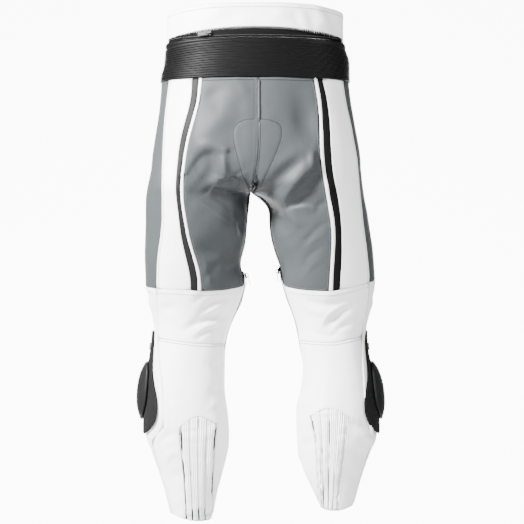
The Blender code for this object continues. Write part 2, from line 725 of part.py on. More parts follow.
def make_connection_zip():
    """Half of the zip that joins a jacket, sewn on over the foot of the yoke."""
    points, normals = [], []
    columns = column_range("side", "back1")
    for share in (0.0, 0.5, 1.0):
        pairs = []
        for side, numbers in (("L", columns), ("R", columns[:-1][::-1])):
            for column in numbers:
                flat = column_angle(side, column, 0.0)
                top = zip_arch(form_point(side, flat, 0.0).x)
                foot = ZIP_SEAM_Z + SEAM_GAP
                z = top + (foot - top) * share
                point, normal = surface(side, column_angle(side, column, z), z)
                pairs.append((to_world(side, point), to_world(side, normal)))
        points.append([pair[0] for pair in pairs])
        normals.append([pair[1] for pair in pairs])
    wall("connection_zip", "zip_tape", points, normals, thick=TAPE_THICK,
         lift=CURVE_GAP + TAPE_THICK)


# ---------------------------------------------------------------- seat and legs
def make_upper_leg(side):
    seat_rows = band_rows("seat", "thigh")
    crotch_row = len(BANDS["seat"].shares) - 1

    def panel(name, finish, first, last):
        grid_wall(f"{name}_{side}", finish, seat_rows,
                  side_nodes(side, column_range(first, last)))

    def front_keep(row, column):
        return row < crotch_row or column >= CELLS[0]

    def back_keep(row, column):
        return row < crotch_row or column < CELLS[-2]

    grid_wall(f"front_{side}", "grey_leather", seat_rows,
              side_nodes(side, column_range("front1", "front3")), keep=front_keep)
    panel("side", "grey_leather", "front3", "side")
    panel("stripe_wide", "white_leather", "side", "wide")
    panel("stripe_dark", "black_leather", "wide", "dark")
    panel("stripe_narrow", "white_leather", "dark", "narrow")
    grid_wall(f"seat_{side}", "grey_leather", seat_rows,
              side_nodes(side, column_range("narrow", "back1")), keep=back_keep)
    gusset = column_range("back2", "back1") + column_range("front1", "front2")[1:]
    grid_wall(f"inner_stretch_{side}", "stretch_fabric", band_rows("thigh"),
              side_nodes(side, gusset))


def make_lower_leg(side):
    grid_wall(f"knee_front_{side}", "white_leather", band_rows("knee"),
              side_nodes(side, column_range("front1", "front3")))
    grid_wall(f"shin_front_{side}", "white_leather", band_rows("calf", "ankle"),
              side_nodes(side, column_range("front1", "front3")))
    grid_wall(f"shin_side_{side}", "white_leather", band_rows("knee", "calf", "ankle"),
              side_nodes(side, column_range("front3", "side")))
    grid_wall(f"knee_back_{side}", "white_leather", band_rows("knee"),
              side_nodes(side, column_range("side", "back1")))
    make_calf(side)


def make_calf(side):
    """Back of the calf, cut out round the pleated insert, and the insert."""
    rows = band_rows("calf", "ankle")
    insert_row = len(BANDS["calf"].shares) - 1
    first = LINE_COLUMN["wide"] - LINE_COLUMN["side"]
    last = LINE_COLUMN["back2"] - LINE_COLUMN["side"]
    grid_wall(f"calf_back_{side}", "white_leather", rows,
              side_nodes(side, column_range("side", "back1")),
              keep=lambda row, column: row < insert_row or not first <= column < last)

    columns = column_range("wide", "back2", 2)
    rows = band_rows("ankle")
    cell_rows = len(rows) - 1
    points, normals = [], []
    for band, share in rows:
        coarse = [node_surface(Node(side, int(column), band, share))
                  for column in columns[::2]]
        pairs = []
        for i, column in enumerate(columns):
            if i % 2 == 0:
                pairs.append(coarse[i // 2])
            else:
                before, after = coarse[i // 2], coarse[i // 2 + 1]
                pairs.append(((before[0] + after[0]) / 2, (before[1] + after[1]).normalized()))
        points.append([pair[0] for pair in pairs])
        normals.append([pair[1] for pair in pairs])
    width = len(columns) - 1

    def pleat(row, column):
        if column in (0, width) or row in (0, cell_rows):
            return 0.0
        start, end = points[row][0].x, points[row][width].x
        turn = (points[row][column].x - start) / (end - start) * PLEAT_COUNT % 1.0
        down = PLEAT_TOP_SHARE + (1 - PLEAT_TOP_SHARE) * row / cell_rows
        return PLEAT_HEIGHT * math.sin(math.pi * turn) * down

    wall(f"calf_insert_{side}", "white_leather", points, normals, relief=pleat)


# ---------------------------------------------------------------- knee sliders
def patch_on_leg(side, table, cells):
    """Grid of points over a leg between the two angle columns of an outline table,
    with its rows closer together at the ends."""
    across, down = cells
    top, foot = table.heights[0], table.heights[-1]
    points, normals = [], []
    for row in range(down + 1):
        z = top + (foot - top) * (1 - math.cos(math.pi * row / down)) / 2
        front = math.radians(table.at("front", z))
        back = math.radians(table.at("back", z))
        pairs = [surface(side, front + (back - front) * i / across, z)
                 for i in range(across + 1)]
        points.append([to_world(side, pair[0]) for pair in pairs])
        normals.append([to_world(side, pair[1]) for pair in pairs])
    return points, normals


def make_knee_slider(side):
    """Hook and loop base on the outside of the leg, the puck it holds, and a tab."""
    loop_top = LOOP_GAP + LOOP_THICK
    points, normals = patch_on_leg(side, LOOP_TABLE, LOOP_CELLS)
    wall(f"slider_base_{side}", "hook_and_loop", points, normals, thick=LOOP_THICK,
         lift=loop_top)

    points, normals = patch_on_leg(side, PUCK_TABLE, PUCK_CELLS)

    def dome(row, column):
        across = 2 * column / PUCK_CELLS.across - 1
        down = math.cos(math.pi * row / PUCK_CELLS.down)
        return (PUCK_DOME * (1 - abs(across) ** PUCK_DOME_POWER)
                * (1 - abs(down) ** PUCK_DOME_POWER))

    wall(f"slider_puck_{side}", "slider_plastic", points, normals, thick=PUCK_RIM,
         lift=loop_top + CURVE_GAP + PUCK_RIM, relief=dome)

    half = SLIDER_TAB_HEIGHT / 2
    tab_table = Table([SLIDER_TAB._replace(z=SLIDER_TAB.z + step) for step in (half, 0, -half)])
    points, normals = patch_on_leg(side, tab_table, TAB_CELLS)
    wall(f"slider_tab_{side}", "tab_rubber", points, normals, thick=TAB_THICK,
         lift=loop_top + CURVE_GAP + TAB_THICK)


# ---------------------------------------------------------------- zips
ON_TAPE = CURVE_GAP + TAPE_THICK + SEAM_GAP      # where a slider lies over the form
FLY_FOOT = -140.0
FLY_ROWS = 8
LEG_ZIP_TOP_SHARE = 0.89     # of the thigh band, where the long zip starts
LEG_ZIP_FOOT_SHARE = 0.97    # of the ankle band, where it ends
LEG_SLIDER_SHARE = 0.5       # where the slider stands between the tape's first rows


def beside_seam(side, band, share, reach):
    """Point on the panel's facets, reach along them from the leg's inner seam:
    to the back above 0 and to the front below it."""
    seam_point, seam_normal = node_surface(Node(side, LAST_COLUMN, band, share))
    if reach == 0:
        return seam_point, seam_normal
    column = LAST_COLUMN - 1 if reach > 0 else 1
    point, normal = node_surface(Node(side, column, band, share))
    t = abs(reach) / (point - seam_point).length
    return seam_point.lerp(point, t), seam_normal.lerp(normal, t).normalized()


def make_leg_zip(side):
    """Tape of the long zip over the seam on the inside of the leg."""
    rows = [("thigh", LEG_ZIP_TOP_SHARE), ("thigh", 1)]
    rows += band_rows("thigh", "knee", "calf", "ankle")[len(BANDS["thigh"].shares):-1]
    rows.append(("ankle", LEG_ZIP_FOOT_SHARE))
    half = LEG_ZIP_WIDTH / 2
    points, normals = [], []
    for band, share in rows:
        pairs = [beside_seam(side, band, share, reach) for reach in (-half, 0, half)]
        points.append([pair[0] for pair in pairs])
        normals.append([pair[1] for pair in pairs])
    wall(f"leg_zip_{side}", "zip_tape", points, normals, thick=TAPE_THICK,
         lift=CURVE_GAP + TAPE_THICK)
    outer = [[p + n * (CURVE_GAP + TAPE_THICK) for p, n in zip(*pair)]
             for pair in zip(points[:2], normals[:2])]
    place = outer[0][1].lerp(outer[1][1], LEG_SLIDER_SHARE)
    across = outer[0][2] + outer[1][2] - outer[0][0] - outer[1][0]
    normal = across.cross(outer[1][1] - outer[0][1]).normalized()
    if normal.dot(normals[0][1]) < 0:
        normal.negate()
    make_slider(f"leg_zip_{side}", place + normal * SEAM_GAP, normal)


def point_at(x, z, face):
    """Point and normal at x to the wearer's left, on the back (1) or front (-1)."""
    side = "L" if x >= MIDDLE_TABLE.at("x", z) else "R"
    outwards = SIDE_SIGN[side] * x
    point, normal = surface(side, angle_at(side, outwards, z, face), z)
    return to_world(side, point), to_world(side, normal)


def strip_at(x_values, z_values, face):
    points, normals = [], []
    for z in z_values:
        pairs = [point_at(x, z, face) for x in x_values]
        points.append([pair[0] for pair in pairs])
        normals.append([pair[1] for pair in pairs])
    return points, normals


TabBox = namedtuple("TabBox", "start end top foot")
WAIST_TAB = TabBox(-34.0, 30.0, 40.0, 8.0)
WAIST_TAB_CELLS = Cells(6, 3)
FLY_SHARES = (-0.5, -0.25, 0, 0.25, 0.5)     # of its width, where the fly has its points
FLY_SLIDER_DROP = 12.0       # of the slider under the fly's top
STUD_ASIDE = 12.0            # of the stud from the fly's middle
STUD_RADIUS, STUD_HEIGHT = 8.0, 3.0
STUD_SIDES = 20
STUD_RIM, STUD_CROWN = 1.6, 0.7


def make_fly():
    """Fly zip down the middle of the front, and the tab and stud that close the waist."""
    middle = MIDDLE_TABLE.at("x", 0.0)
    x_values = [middle + FLY_WIDTH * share for share in FLY_SHARES]
    fly_top = WAIST_TAB.foot - CURVE_GAP
    z_values = [fly_top + (FLY_FOOT - fly_top) * i / FLY_ROWS for i in range(FLY_ROWS + 1)]
    points, normals = strip_at(x_values, z_values, -1)
    wall("fly_zip", "zip_tape", points, normals, thick=TAPE_THICK,
         lift=CURVE_GAP + TAPE_THICK)
    place, normal = point_at(middle, fly_top - FLY_SLIDER_DROP, -1)
    make_slider("fly_zip", place + normal * ON_TAPE, normal)

    start, end, top, foot = WAIST_TAB
    across, down = WAIST_TAB_CELLS
    x_values = [start + (end - start) * i / across for i in range(across + 1)]
    z_values = [top + (foot - top) * i / down for i in range(down + 1)]
    points, normals = strip_at(x_values, z_values, -1)
    wall("waist_tab", "white_leather", points, normals, lift=CURVE_GAP + LEATHER)
    place, normal = point_at(middle + STUD_ASIDE, (top + foot) / 2, -1)
    make_stud("waist_stud", place + normal * (CURVE_GAP + LEATHER + SEAM_GAP), normal)


def make_stud(name, place, normal):
    """Press stud cap: a low turned disc on the tab."""
    bm = bmesh.new()
    bmesh.ops.create_circle(bm, cap_ends=True, segments=STUD_SIDES, radius=STUD_RADIUS * MM)
    faces = bmesh.ops.extrude_face_region(bm, geom=bm.faces[:])["geom"]
    raised = [item for item in faces if isinstance(item, bmesh.types.BMVert)]
    bmesh.ops.translate(bm, verts=raised, vec=(0, 0, STUD_HEIGHT * MM))
    top = [max(bm.faces, key=lambda face: face.calc_center_median().z)]
    bmesh.ops.inset_region(bm, faces=top, thickness=STUD_RIM * MM, depth=STUD_CROWN * MM)
    face_outwards(bm)
    turn = Vector((0, 0, 1)).rotation_difference(normal).to_matrix().to_4x4()
    bmesh.ops.transform(bm, matrix=Matrix.Translation(place * MM) @ turn, verts=bm.verts[:])
    mesh = bpy.data.meshes.new(name)
    bm.to_mesh(mesh)
    bm.free()
    new_object(name, mesh, "zip_metal")


# The slider is modelled lying on the tape: x across, y down the zip, z away from it.
SLIDER_BODY = (8.0, 11.0, 3.2)        # across, along, high
SLIDER_CORNER = 2.0
BRIDGE = (2.0, 8.0, 4.0, 1.2)         # across, along, high, bar
BRIDGE_ROOT = 1.0                     # how deep it is let into the body
PULL_AXIS_Y, PULL_AXIS_Z = 1.6, 1.4   # of the pull's eye bar, from the body's top
PULL_SIZE = (6.4, 19.0, 1.2)          # across, along, thick
PULL_EYE = (3.2, 3.2)                 # across, along
PULL_BAR = 1.2                        # the eye's bar, round the axis


def frame_at(place, normal, along):
    """Matrix whose z is the surface normal and whose y lies along the zip."""
    along = (along - normal * along.dot(normal)).normalized()
    across = along.cross(normal).normalized()
    turn = Matrix((across, along, normal)).transposed().to_4x4()
    return Matrix.Translation(place * MM) @ turn


def box_mesh(bm, size, middle):
    made = bmesh.ops.create_cube(bm, size=1.0)["verts"]
    bmesh.ops.scale(bm, vec=[value * MM for value in size], verts=made)
    bmesh.ops.translate(bm, vec=[value * MM for value in middle], verts=made)
    return made


def make_slider(name, place, normal, zip_line=Vector((0, 0, -1))):
    """Zip slider with its bridge, and the pull that swings in the bridge."""
    frame = frame_at(place, normal, zip_line)
    across, along, high = SLIDER_BODY
    bm = bmesh.new()
    box_mesh(bm, SLIDER_BODY, (0, 0, high / 2))
    bmesh.ops.bevel(bm, geom=[e for e in bm.edges if abs(e.verts[0].co.z - e.verts[1].co.z) > MM],
                    offset=SLIDER_CORNER * MM, segments=2, profile=0.5, affect="EDGES")
    mesh = bpy.data.meshes.new(f"{name}_slider")
    bm.to_mesh(mesh)
    bm.free()
    body = new_object(f"{name}_slider", mesh, "zip_metal")
    body.matrix_world = frame

    wide, long, tall, bar = BRIDGE
    bm = bmesh.new()
    plate_with_hole(bm, [-long / 2, -long / 2 + bar, long / 2 - bar, long / 2],
                    [-BRIDGE_ROOT, 0.0, tall - bar, tall], wide)
    turn = Matrix(((0, 0, 1, 0), (1, 0, 0, 0), (0, 1, 0, 0), (0, 0, 0, 1)))
    bmesh.ops.transform(bm, matrix=Matrix.Translation((0, 0, high * MM)) @ turn,
                        verts=bm.verts[:])
    face_outwards(bm)
    mesh = bpy.data.meshes.new(f"{name}_bridge")
    bm.to_mesh(mesh)
    bm.free()
    bridge = bpy.data.objects.new(f"{name}_bridge", mesh)
    bpy.context.scene.collection.objects.link(bridge)
    bridge.matrix_world = frame
    bridge.hide_render = True
    bridge.display_type = "WIRE"
    union = body.modifiers.new("bridge", "BOOLEAN")
    union.operation = "UNION"
    union.object = bridge
    make_pull(name, frame, high)


def plate_with_hole(bm, x_stops, y_stops, thick):
    """Plate of 3 by 3 cells without its middle one, centred on its own plane."""
    bmesh.ops.create_grid(bm, x_segments=3, y_segments=3, size=1.0)
    middle = min(bm.faces, key=lambda face: face.calc_center_median().length)
    bm.faces.remove(middle)
    bmesh.ops.solidify(bm, geom=bm.faces[:], thickness=0.5)
    flat_z = [v.co.z for v in bm.verts]
    half_way = (min(flat_z) + max(flat_z)) / 2
    for vert in bm.verts:
        column = round((vert.co.x + 1) * 1.5)
        row = round((vert.co.y + 1) * 1.5)
        z = thick / 2 if vert.co.z > half_way else -thick / 2
        vert.co = Vector((x_stops[column], y_stops[row], z)) * MM


def make_pull(name, frame, body_high):
    """Pull plate: its eye bar lies under the bridge, on the hinge's axis."""
    across, along, thick = PULL_SIZE
    eye_x, eye_y = PULL_EYE
    bar = PULL_BAR / 2
    bm = bmesh.new()
    plate_with_hole(bm, [-across / 2, -eye_x / 2, eye_x / 2, across / 2],
                    [-bar, bar, bar + eye_y, along], thick)
    face_outwards(bm)
    mesh = bpy.data.meshes.new(f"{name}_pull")
    bm.to_mesh(mesh)
    bm.free()
    pull = new_object(f"{name}_pull", mesh, "zip_metal")
    hinge = Matrix.Translation(Vector((0, PULL_AXIS_Y, body_high + PULL_AXIS_Z)) * MM)
    pull.matrix_world = frame @ hinge


CONNECTION_SLIDER_X = 88.0
CONNECTION_SLIDER_DROP = 9.0     # under the tape's top edge
CONNECTION_SLIDER_STEP = 5.0     # along the tape, which shows which way it runs


def make_connection_slider():
    """Slider that lies along the open zip, its pull towards the wearer's left."""
    x = CONNECTION_SLIDER_X
    place, normal = point_at(x, zip_arch(x) - CONNECTION_SLIDER_DROP, 1)
    x += CONNECTION_SLIDER_STEP
    beside, _ = point_at(x, zip_arch(x) - CONNECTION_SLIDER_DROP, 1)
    make_slider("connection_zip", place + normal * ON_TAPE, normal, beside - place)


# ---------------------------------------------------------------- the whole garment
def main():
    for obj in list(bpy.data.objects):
        bpy.data.objects.remove(obj, do_unlink=True)
    make_waist()
    make_connection_slider()
    make_fly()
    for side in "LR":
        make_upper_leg(side)
        make_lower_leg(side)
        make_knee_slider(side)
        make_leg_zip(side)


main()
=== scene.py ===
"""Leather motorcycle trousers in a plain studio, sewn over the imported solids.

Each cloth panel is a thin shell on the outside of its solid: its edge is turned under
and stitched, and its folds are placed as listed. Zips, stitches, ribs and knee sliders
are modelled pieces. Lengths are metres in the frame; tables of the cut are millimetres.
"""

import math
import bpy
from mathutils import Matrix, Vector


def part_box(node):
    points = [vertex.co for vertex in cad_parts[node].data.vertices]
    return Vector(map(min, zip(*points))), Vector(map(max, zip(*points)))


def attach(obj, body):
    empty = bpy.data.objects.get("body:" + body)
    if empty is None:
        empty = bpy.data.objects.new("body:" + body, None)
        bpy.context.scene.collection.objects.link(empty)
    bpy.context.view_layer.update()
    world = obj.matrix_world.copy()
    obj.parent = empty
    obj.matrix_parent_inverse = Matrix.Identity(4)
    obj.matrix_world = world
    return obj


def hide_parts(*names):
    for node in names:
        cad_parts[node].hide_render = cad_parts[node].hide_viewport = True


bl_info = {
    "name": "Leather Trousers Studio",
    "version": (1, 0, 0),
    "blender": (4, 5, 0),
    "location": "View3D > Sidebar > Trousers",
    "description": "Sews leather, zips and knee sliders over the packed trousers",
    "category": "Object",
}

from collections import namedtuple

import bmesh
import bpy
import numpy as np
from mathutils import Matrix, Vector, noise

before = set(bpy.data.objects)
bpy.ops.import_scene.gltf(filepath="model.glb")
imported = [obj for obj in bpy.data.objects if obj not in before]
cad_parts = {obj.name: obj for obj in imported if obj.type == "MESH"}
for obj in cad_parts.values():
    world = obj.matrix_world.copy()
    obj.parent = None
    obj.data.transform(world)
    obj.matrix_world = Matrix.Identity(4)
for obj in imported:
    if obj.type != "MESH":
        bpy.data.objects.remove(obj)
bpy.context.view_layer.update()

MM = 0.001
BODY = "trousers"
SIDES = {"L": 1, "R": -1}


# ---------------------------------------------------------------- what a user would change
class TrousersLook(bpy.types.PropertyGroup):
    """Colours of the leathers, fabrics and hard pieces."""

    white: bpy.props.FloatVectorProperty(
        name="White leather", description="Colour of the white panels",
        subtype="COLOR", default=(0.76, 0.76, 0.76))
    grey: bpy.props.FloatVectorProperty(
        name="Grey leather", description="Colour of the seat, sides and fronts",
        subtype="COLOR", default=(0.0315, 0.0352, 0.0365))
    black: bpy.props.FloatVectorProperty(
        name="Black leather", description="Colour of the ribbed waist and the dark stripe",
        subtype="COLOR", default=(0.003, 0.003, 0.003))
    stripe_left: bpy.props.FloatVectorProperty(
        name="Left stripe", description="Colour of the dark stripe on the left leg",
        subtype="COLOR", default=(0.0065, 0.0065, 0.0067))
    stretch: bpy.props.FloatVectorProperty(
        name="Stretch fabric", description="Colour of the inner leg panels",
        subtype="COLOR", default=(0.008, 0.008, 0.0082))
    tape: bpy.props.FloatVectorProperty(
        name="Zip tape", description="Colour of the zip tapes and teeth",
        subtype="COLOR", default=(0.0018, 0.0018, 0.0018))
    metal: bpy.props.FloatVectorProperty(
        name="Zip metal", description="Colour of the sliders, pulls and the stud",
        subtype="COLOR", default=(0.022, 0.022, 0.023))
    puck: bpy.props.FloatVectorProperty(
        name="Knee slider", description="Colour of the knee sliders",
        subtype="COLOR", default=(0.006, 0.006, 0.0062))


class TrousersSizes(bpy.types.PropertyGroup):
    """Sizes of the sewing and of the leather's relief."""

    shell: bpy.props.FloatProperty(
        name="Leather", description="Thickness of the leather shell",
        subtype="DISTANCE", default=1.5 * MM)
    edge: bpy.props.FloatProperty(
        name="Turned edge", description="Width over which a panel's edge turns under",
        subtype="DISTANCE", default=1.5 * MM)
    sink: bpy.props.FloatProperty(
        name="Edge depth", description="How far a panel's edge goes down into the seam",
        subtype="DISTANCE", default=0.8 * MM)
    meet: bpy.props.FloatProperty(
        name="Seam closing", description="How far a panel's edge reaches to its neighbour",
        subtype="DISTANCE", default=0.17 * MM)
    stitch_inset: bpy.props.FloatProperty(
        name="Stitch inset", description="Distance of the stitches from the panel's edge",
        subtype="DISTANCE", default=3.4 * MM)
    stitch_pitch: bpy.props.FloatProperty(
        name="Stitch pitch", description="From one stitch to the next",
        subtype="DISTANCE", default=3.8 * MM)
    folds: bpy.props.FloatProperty(
        name="Folds", description="Depth of the folds, as a share of the drawn depth",
        subtype="FACTOR", default=1.0, min=0.0, max=2.0)


# ---------------------------------------------------------------- tables of the folds
# A soft ridge (height above 0) or trough along a line that bends sideways in its middle.
# x is measured outwards from the middle plane, z is the height, both in millimetres.
# The second width is that of its side to the left of the way from 1 to 2.
Crease = namedtuple("Crease", "x1 z1 x2 z2 bend width height other", defaults=(None,))
# A round hollow or bulge.
Hollow = namedtuple("Hollow", "x z wide high turn height")

BACK_CREASES = {
    "L": [
        # The round hollow beside the seat, with its rim.
        Hollow(88, -268, 25, 30, 0, -16.0),
        Crease(124, -292, 100, -214, 12, 10, 2.4),
        Crease(108, -218, 58, -226, -8, 9, 2.4),
        Crease(59, -226, 54, -284, 3, 8, 5.5),
        Crease(122, -262, 64, -232, -14, 7, -7.0, 24),
        # Soft light band over it.
        Crease(22, -148, 108, -202, 6, 20, 3.0),
        Hollow(80, -122, 30, 16, -28, -3.5),
        Crease(30, -92, 12, -122, 2, 10, 1.6),
        # The hook of the seat's edge over the thigh.
        Crease(72, -294, 40, -275, 4, 20, -9.0, 6),
        Crease(48, -276, 24, -284, 4, 7, -8.0, 18),
        Crease(74, -283, 36, -264, 4, 8, 3.0),
        # Folds under it.
        Crease(84, -300, 36, -340, -4, 13, -5.5),
        Crease(128, -314, 24, -392, -6, 10, 4.5, 16),
        Crease(40, -342, 36, -388, 4, 5, 2.4),
        Hollow(26, -366, 9, 20, 0, -4.5),
        Hollow(82, -410, 24, 16, 12, -5.0),
        Crease(94, -434, 84, -480, 2, 6, 2.6, 10),
        Crease(60, -432, 100, -470, 5, 7, -1.8),
        Crease(38, -440, 60, -470, 3, 8, -1.6),
        # Knee and calf.
        Crease(57, -506, 102, -533, 6, 6, -5.4, 9),
        Crease(60, -516, 108, -545, 6, 5, 3.9),
        Crease(58, -540, 134, -563, 7, 5, -5.1, 9),
        Crease(62, -551, 120, -572, 6, 5, 3.0),
        Crease(66, -558, 110, -580, 5, 4, -2.7),
        Crease(70, -528, 90, -552, -4, 4, -2.4),
        Crease(76, -492, 118, -510, 6, 7, -3.0),
        Crease(150, -520, 186, -528, 3, 9, -2.4),
        Crease(66, -650, 92, -628, 5, 8, -3.5, 14),
        Crease(54, -690, 84, -682, 4, 9, -3.2),
        Crease(52, -702, 90, -712, 3, 7, 2.2),
        Crease(150, -760, 190, -784, 5, 8, -2.7),
        Crease(146, -795, 176, -815, 5, 8, 2.4),
        Crease(138, -838, 165, -852, 3, 8, -2.2),
        Crease(62, -780, 84, -772, 3, 8, -2.2),
        Crease(140, -892, 158, -902, 3, 7, 1.6),
        # Yoke.
        Crease(40, 16, 110, 30, 6, 16, 1.4),
        Crease(20, 34, 70, 22, 4, 12, -1.6),
        Crease(2, 12, 34, 26, 3, 9, 1.2),
    ],
    "R": [
        # The soft hollow beside the stripe.
        Hollow(98, -167, 25, 38, 12, -8.0),
        # The fold from the crotch to the stripe and the valleys beside it.
        Crease(22, -296, 92, -236, 3, 13, -5.5),
        Crease(20, -282, 88, -222, 4, 12, 2.6),
        Crease(48, -324, 107, -254, 5, 5, 4.0, 13),
        Crease(104, -262, 112, -216, 2, 7, 2.6),
        Crease(66, -320, 114, -270, 3, 13, -5.5, 7),
        Crease(110, -226, 122, -262, 3, 6, -3.0),
        Crease(58, -335, 106, -330, 3, 12, 4.0, 4),
        Crease(54, -332, 82, -376, 2, 7, 4.0, 10),
        Crease(34, -338, 60, -386, 3, 12, -4.5),
        Crease(60, -352, 84, -390, 6, 8, -1.6),
        Crease(112, -340, 138, -318, 5, 7, -2.2),
        # Fine slanting creases on the thigh.
        Crease(98, -388, 134, -360, 4, 5, -1.6),
        Crease(92, -412, 130, -380, 4, 5, 1.4),
        Crease(88, -440, 128, -402, 4, 5, -1.6),
        Crease(92, -462, 124, -428, 4, 5, 1.2),
        Crease(72, -404, 110, -372, 4, 6, 1.2),
        Hollow(62, -430, 26, 30, 0, -3.0),
        # Knee and calf.
        Crease(104, -508, 170, -512, -5, 7, -3.9),
        Crease(96, -520, 150, -530, -4, 6, 2.7),
        Crease(138, -558, 186, -520, 6, 6, -5.4, 9),
        Crease(128, -548, 172, -516, 6, 5, 3.6),
        Crease(150, -570, 192, -548, 4, 5, -2.7),
        Crease(110, -566, 160, -574, -4, 6, -2.4),
        Crease(84, -690, 104, -668, 5, 9, -3.8, 16),
        Crease(78, -712, 106, -702, 4, 8, 2.7),
        Crease(96, -752, 118, -778, 4, 10, -2.7),
        Crease(190, -742, 232, -766, 5, 7, -3.5),
        Crease(196, -762, 226, -784, 4, 7, 3.0),
        Crease(184, -800, 212, -812, 4, 8, -2.7),
        Crease(90, -790, 112, -776, 3, 8, -2.4),
        Crease(176, -846, 196, -852, 3, 7, -2.2),
        Crease(180, -872, 204, -880, 3, 6, 1.9),
        Crease(60, 40, 84, 14, 5, 9, -2.4),
        Crease(92, 46, 112, 10, 6, 11, -2.6),
        Crease(120, 44, 136, 12, 4, 9, 2.2),
        Crease(140, 40, 150, 4, 4, 9, -2.4),
        Crease(30, 26, 60, 34, 4, 9, 1.4),
    ],
}

FRONT_CREASES = {
    "L": [
        Crease(24, -292, 96, -236, 8, 9, -2.4),
        Crease(30, -306, 108, -252, 8, 9, 2.0),
        Crease(34, -330, 92, -318, 6, 8, -1.6),
        Crease(60, -404, 150, -430, 8, 12, -1.6),
        Crease(70, -512, 150, -504, 8, 7, -2.4),
        Crease(66, -526, 156, -520, 8, 7, 1.8),
        Crease(74, -548, 146, -552, -6, 7, -2.0),
        Crease(80, -574, 140, -566, 6, 6, 1.4),
        Crease(86, -640, 150, -652, 6, 10, -1.4),
        Crease(82, -742, 140, -734, 5, 9, -1.5),
        Crease(96, -820, 146, -832, 5, 8, -1.4),
        Crease(100, -852, 140, -846, 4, 7, 1.2),
        Crease(104, -886, 138, -890, 3, 6, -1.2),
    ],
    "R": [
        Crease(28, -298, 90, -246, 8, 9, -2.2),
        Crease(36, -312, 104, -268, 8, 9, 1.8),
        Crease(50, -344, 110, -328, 6, 9, -1.6),
        Crease(70, -398, 166, -414, -8, 12, -1.5),
        Crease(96, -498, 172, -508, 8, 7, -2.2),
        Crease(92, -514, 176, -522, 8, 7, 1.8),
        Crease(100, -540, 166, -536, -6, 7, -2.0),
        Crease(108, -566, 168, -572, 6, 6, 1.2),
        Crease(112, -634, 176, -626, 6, 10, -1.4),
        Crease(104, -736, 170, -748, 5, 9, -1.5),
        Crease(122, -810, 176, -800, 5, 8, -1.4),
        Crease(128, -842, 172, -850, 4, 7, 1.2),
        Crease(138, -872, 172, -868, 3, 6, -1.1),
    ],
}

# Creases on the outside of the leg: x is read as the depth y instead, front to back.
OUTER_CREASES = {
    "L": [
        Crease(-60, -250, 40, -262, 8, 12, -1.4),
        Crease(-50, -508, 20, -498, 6, 8, -1.8),
        Crease(-56, -524, 24, -518, 6, 8, 1.4),
        Crease(-50, -552, 10, -560, -5, 8, -1.6),
        Crease(-30, -808, 30, -800, 5, 9, -1.5),
        Crease(-34, -846, 24, -854, 5, 8, 1.2),
        Crease(-30, -882, 26, -876, 4, 7, -1.2),
    ],
    "R": [
        Crease(-56, -268, 44, -256, 8, 12, -1.3),
        Crease(-54, -500, 18, -508, 6, 8, -1.8),
        Crease(-52, -518, 26, -524, 6, 8, 1.4),
        Crease(-52, -556, 14, -548, -5, 8, -1.6),
        Crease(-32, -796, 28, -806, 5, 9, -1.5),
        Crease(-30, -836, 26, -830, 5, 8, 1.2),
        Crease(-32, -866, 22, -872, 4, 7, -1.2),
    ],
}

# Outline of the seat pad; x is the frame's own here, the wearer's left first.
PadPoint = namedtuple("PadPoint", "x z")
PAD_OUTLINE = [
    PadPoint(-6, -165), PadPoint(12, -166), PadPoint(26, -169), PadPoint(36, -176),
    PadPoint(42, -188), PadPoint(41, -206), PadPoint(37, -225), PadPoint(31, -247),
    PadPoint(25, -268), PadPoint(20, -283), PadPoint(12, -294), PadPoint(-2, -300),
    PadPoint(-12, -284), PadPoint(-24, -261), PadPoint(-36, -236), PadPoint(-45, -214),
    PadPoint(-50, -195), PadPoint(-49, -181), PadPoint(-40, -172), PadPoint(-24, -167),
]

# Where the pleated insert's two long seams stand, outwards from the middle plane.
InsertSides = namedtuple("InsertSides", "z outer inner")
INSERT_SIDES = {
    "L": [InsertSides(-740, 143.5, 75.5), InsertSides(-800, 141, 81),
          InsertSides(-870, 136, 84), InsertSides(-935, 133, 86)],
    "R": [InsertSides(-720, 174.5, 105), InsertSides(-775, 169, 112),
          InsertSides(-858, 159, 119.5), InsertSides(-915, 155, 123)],
}
PLEATS = 4
RIBS_A_PLEAT = 4

# Where the seams gape: numbered from the outer one, and open to the hem or not.
Slit = namedtuple("Slit", "seam top foot width hem")
SLITS = {
    "L": [
        Slit(0, -750, -800, 1.0, False), Slit(0, -806, -862, 1.2, False),
        Slit(0, -850, -935, 0.7, True), Slit(1, -830, -846, 0.3, False),
        Slit(1, -902, -940, 1.0, True), Slit(2, -730, -752, 0.4, False),
        Slit(2, -902, -940, 1.0, True), Slit(3, -902, -935, 0.7, True),
        Slit(4, -742, -800, 0.7, False), Slit(4, -828, -890, 0.5, False),
    ],
    "R": [
        Slit(1, -826, -905, 0.6, True), Slit(2, -816, -905, 0.8, True),
        Slit(2, -725, -790, 0.6, False), Slit(3, -786, -802, 0.4, False),
        Slit(3, -870, -905, 0.8, True), Slit(4, -732, -768, 0.5, False),
        Slit(2, -795, -812, 0.4, False), Slit(4, -775, -800, 0.3, False),
    ],
}


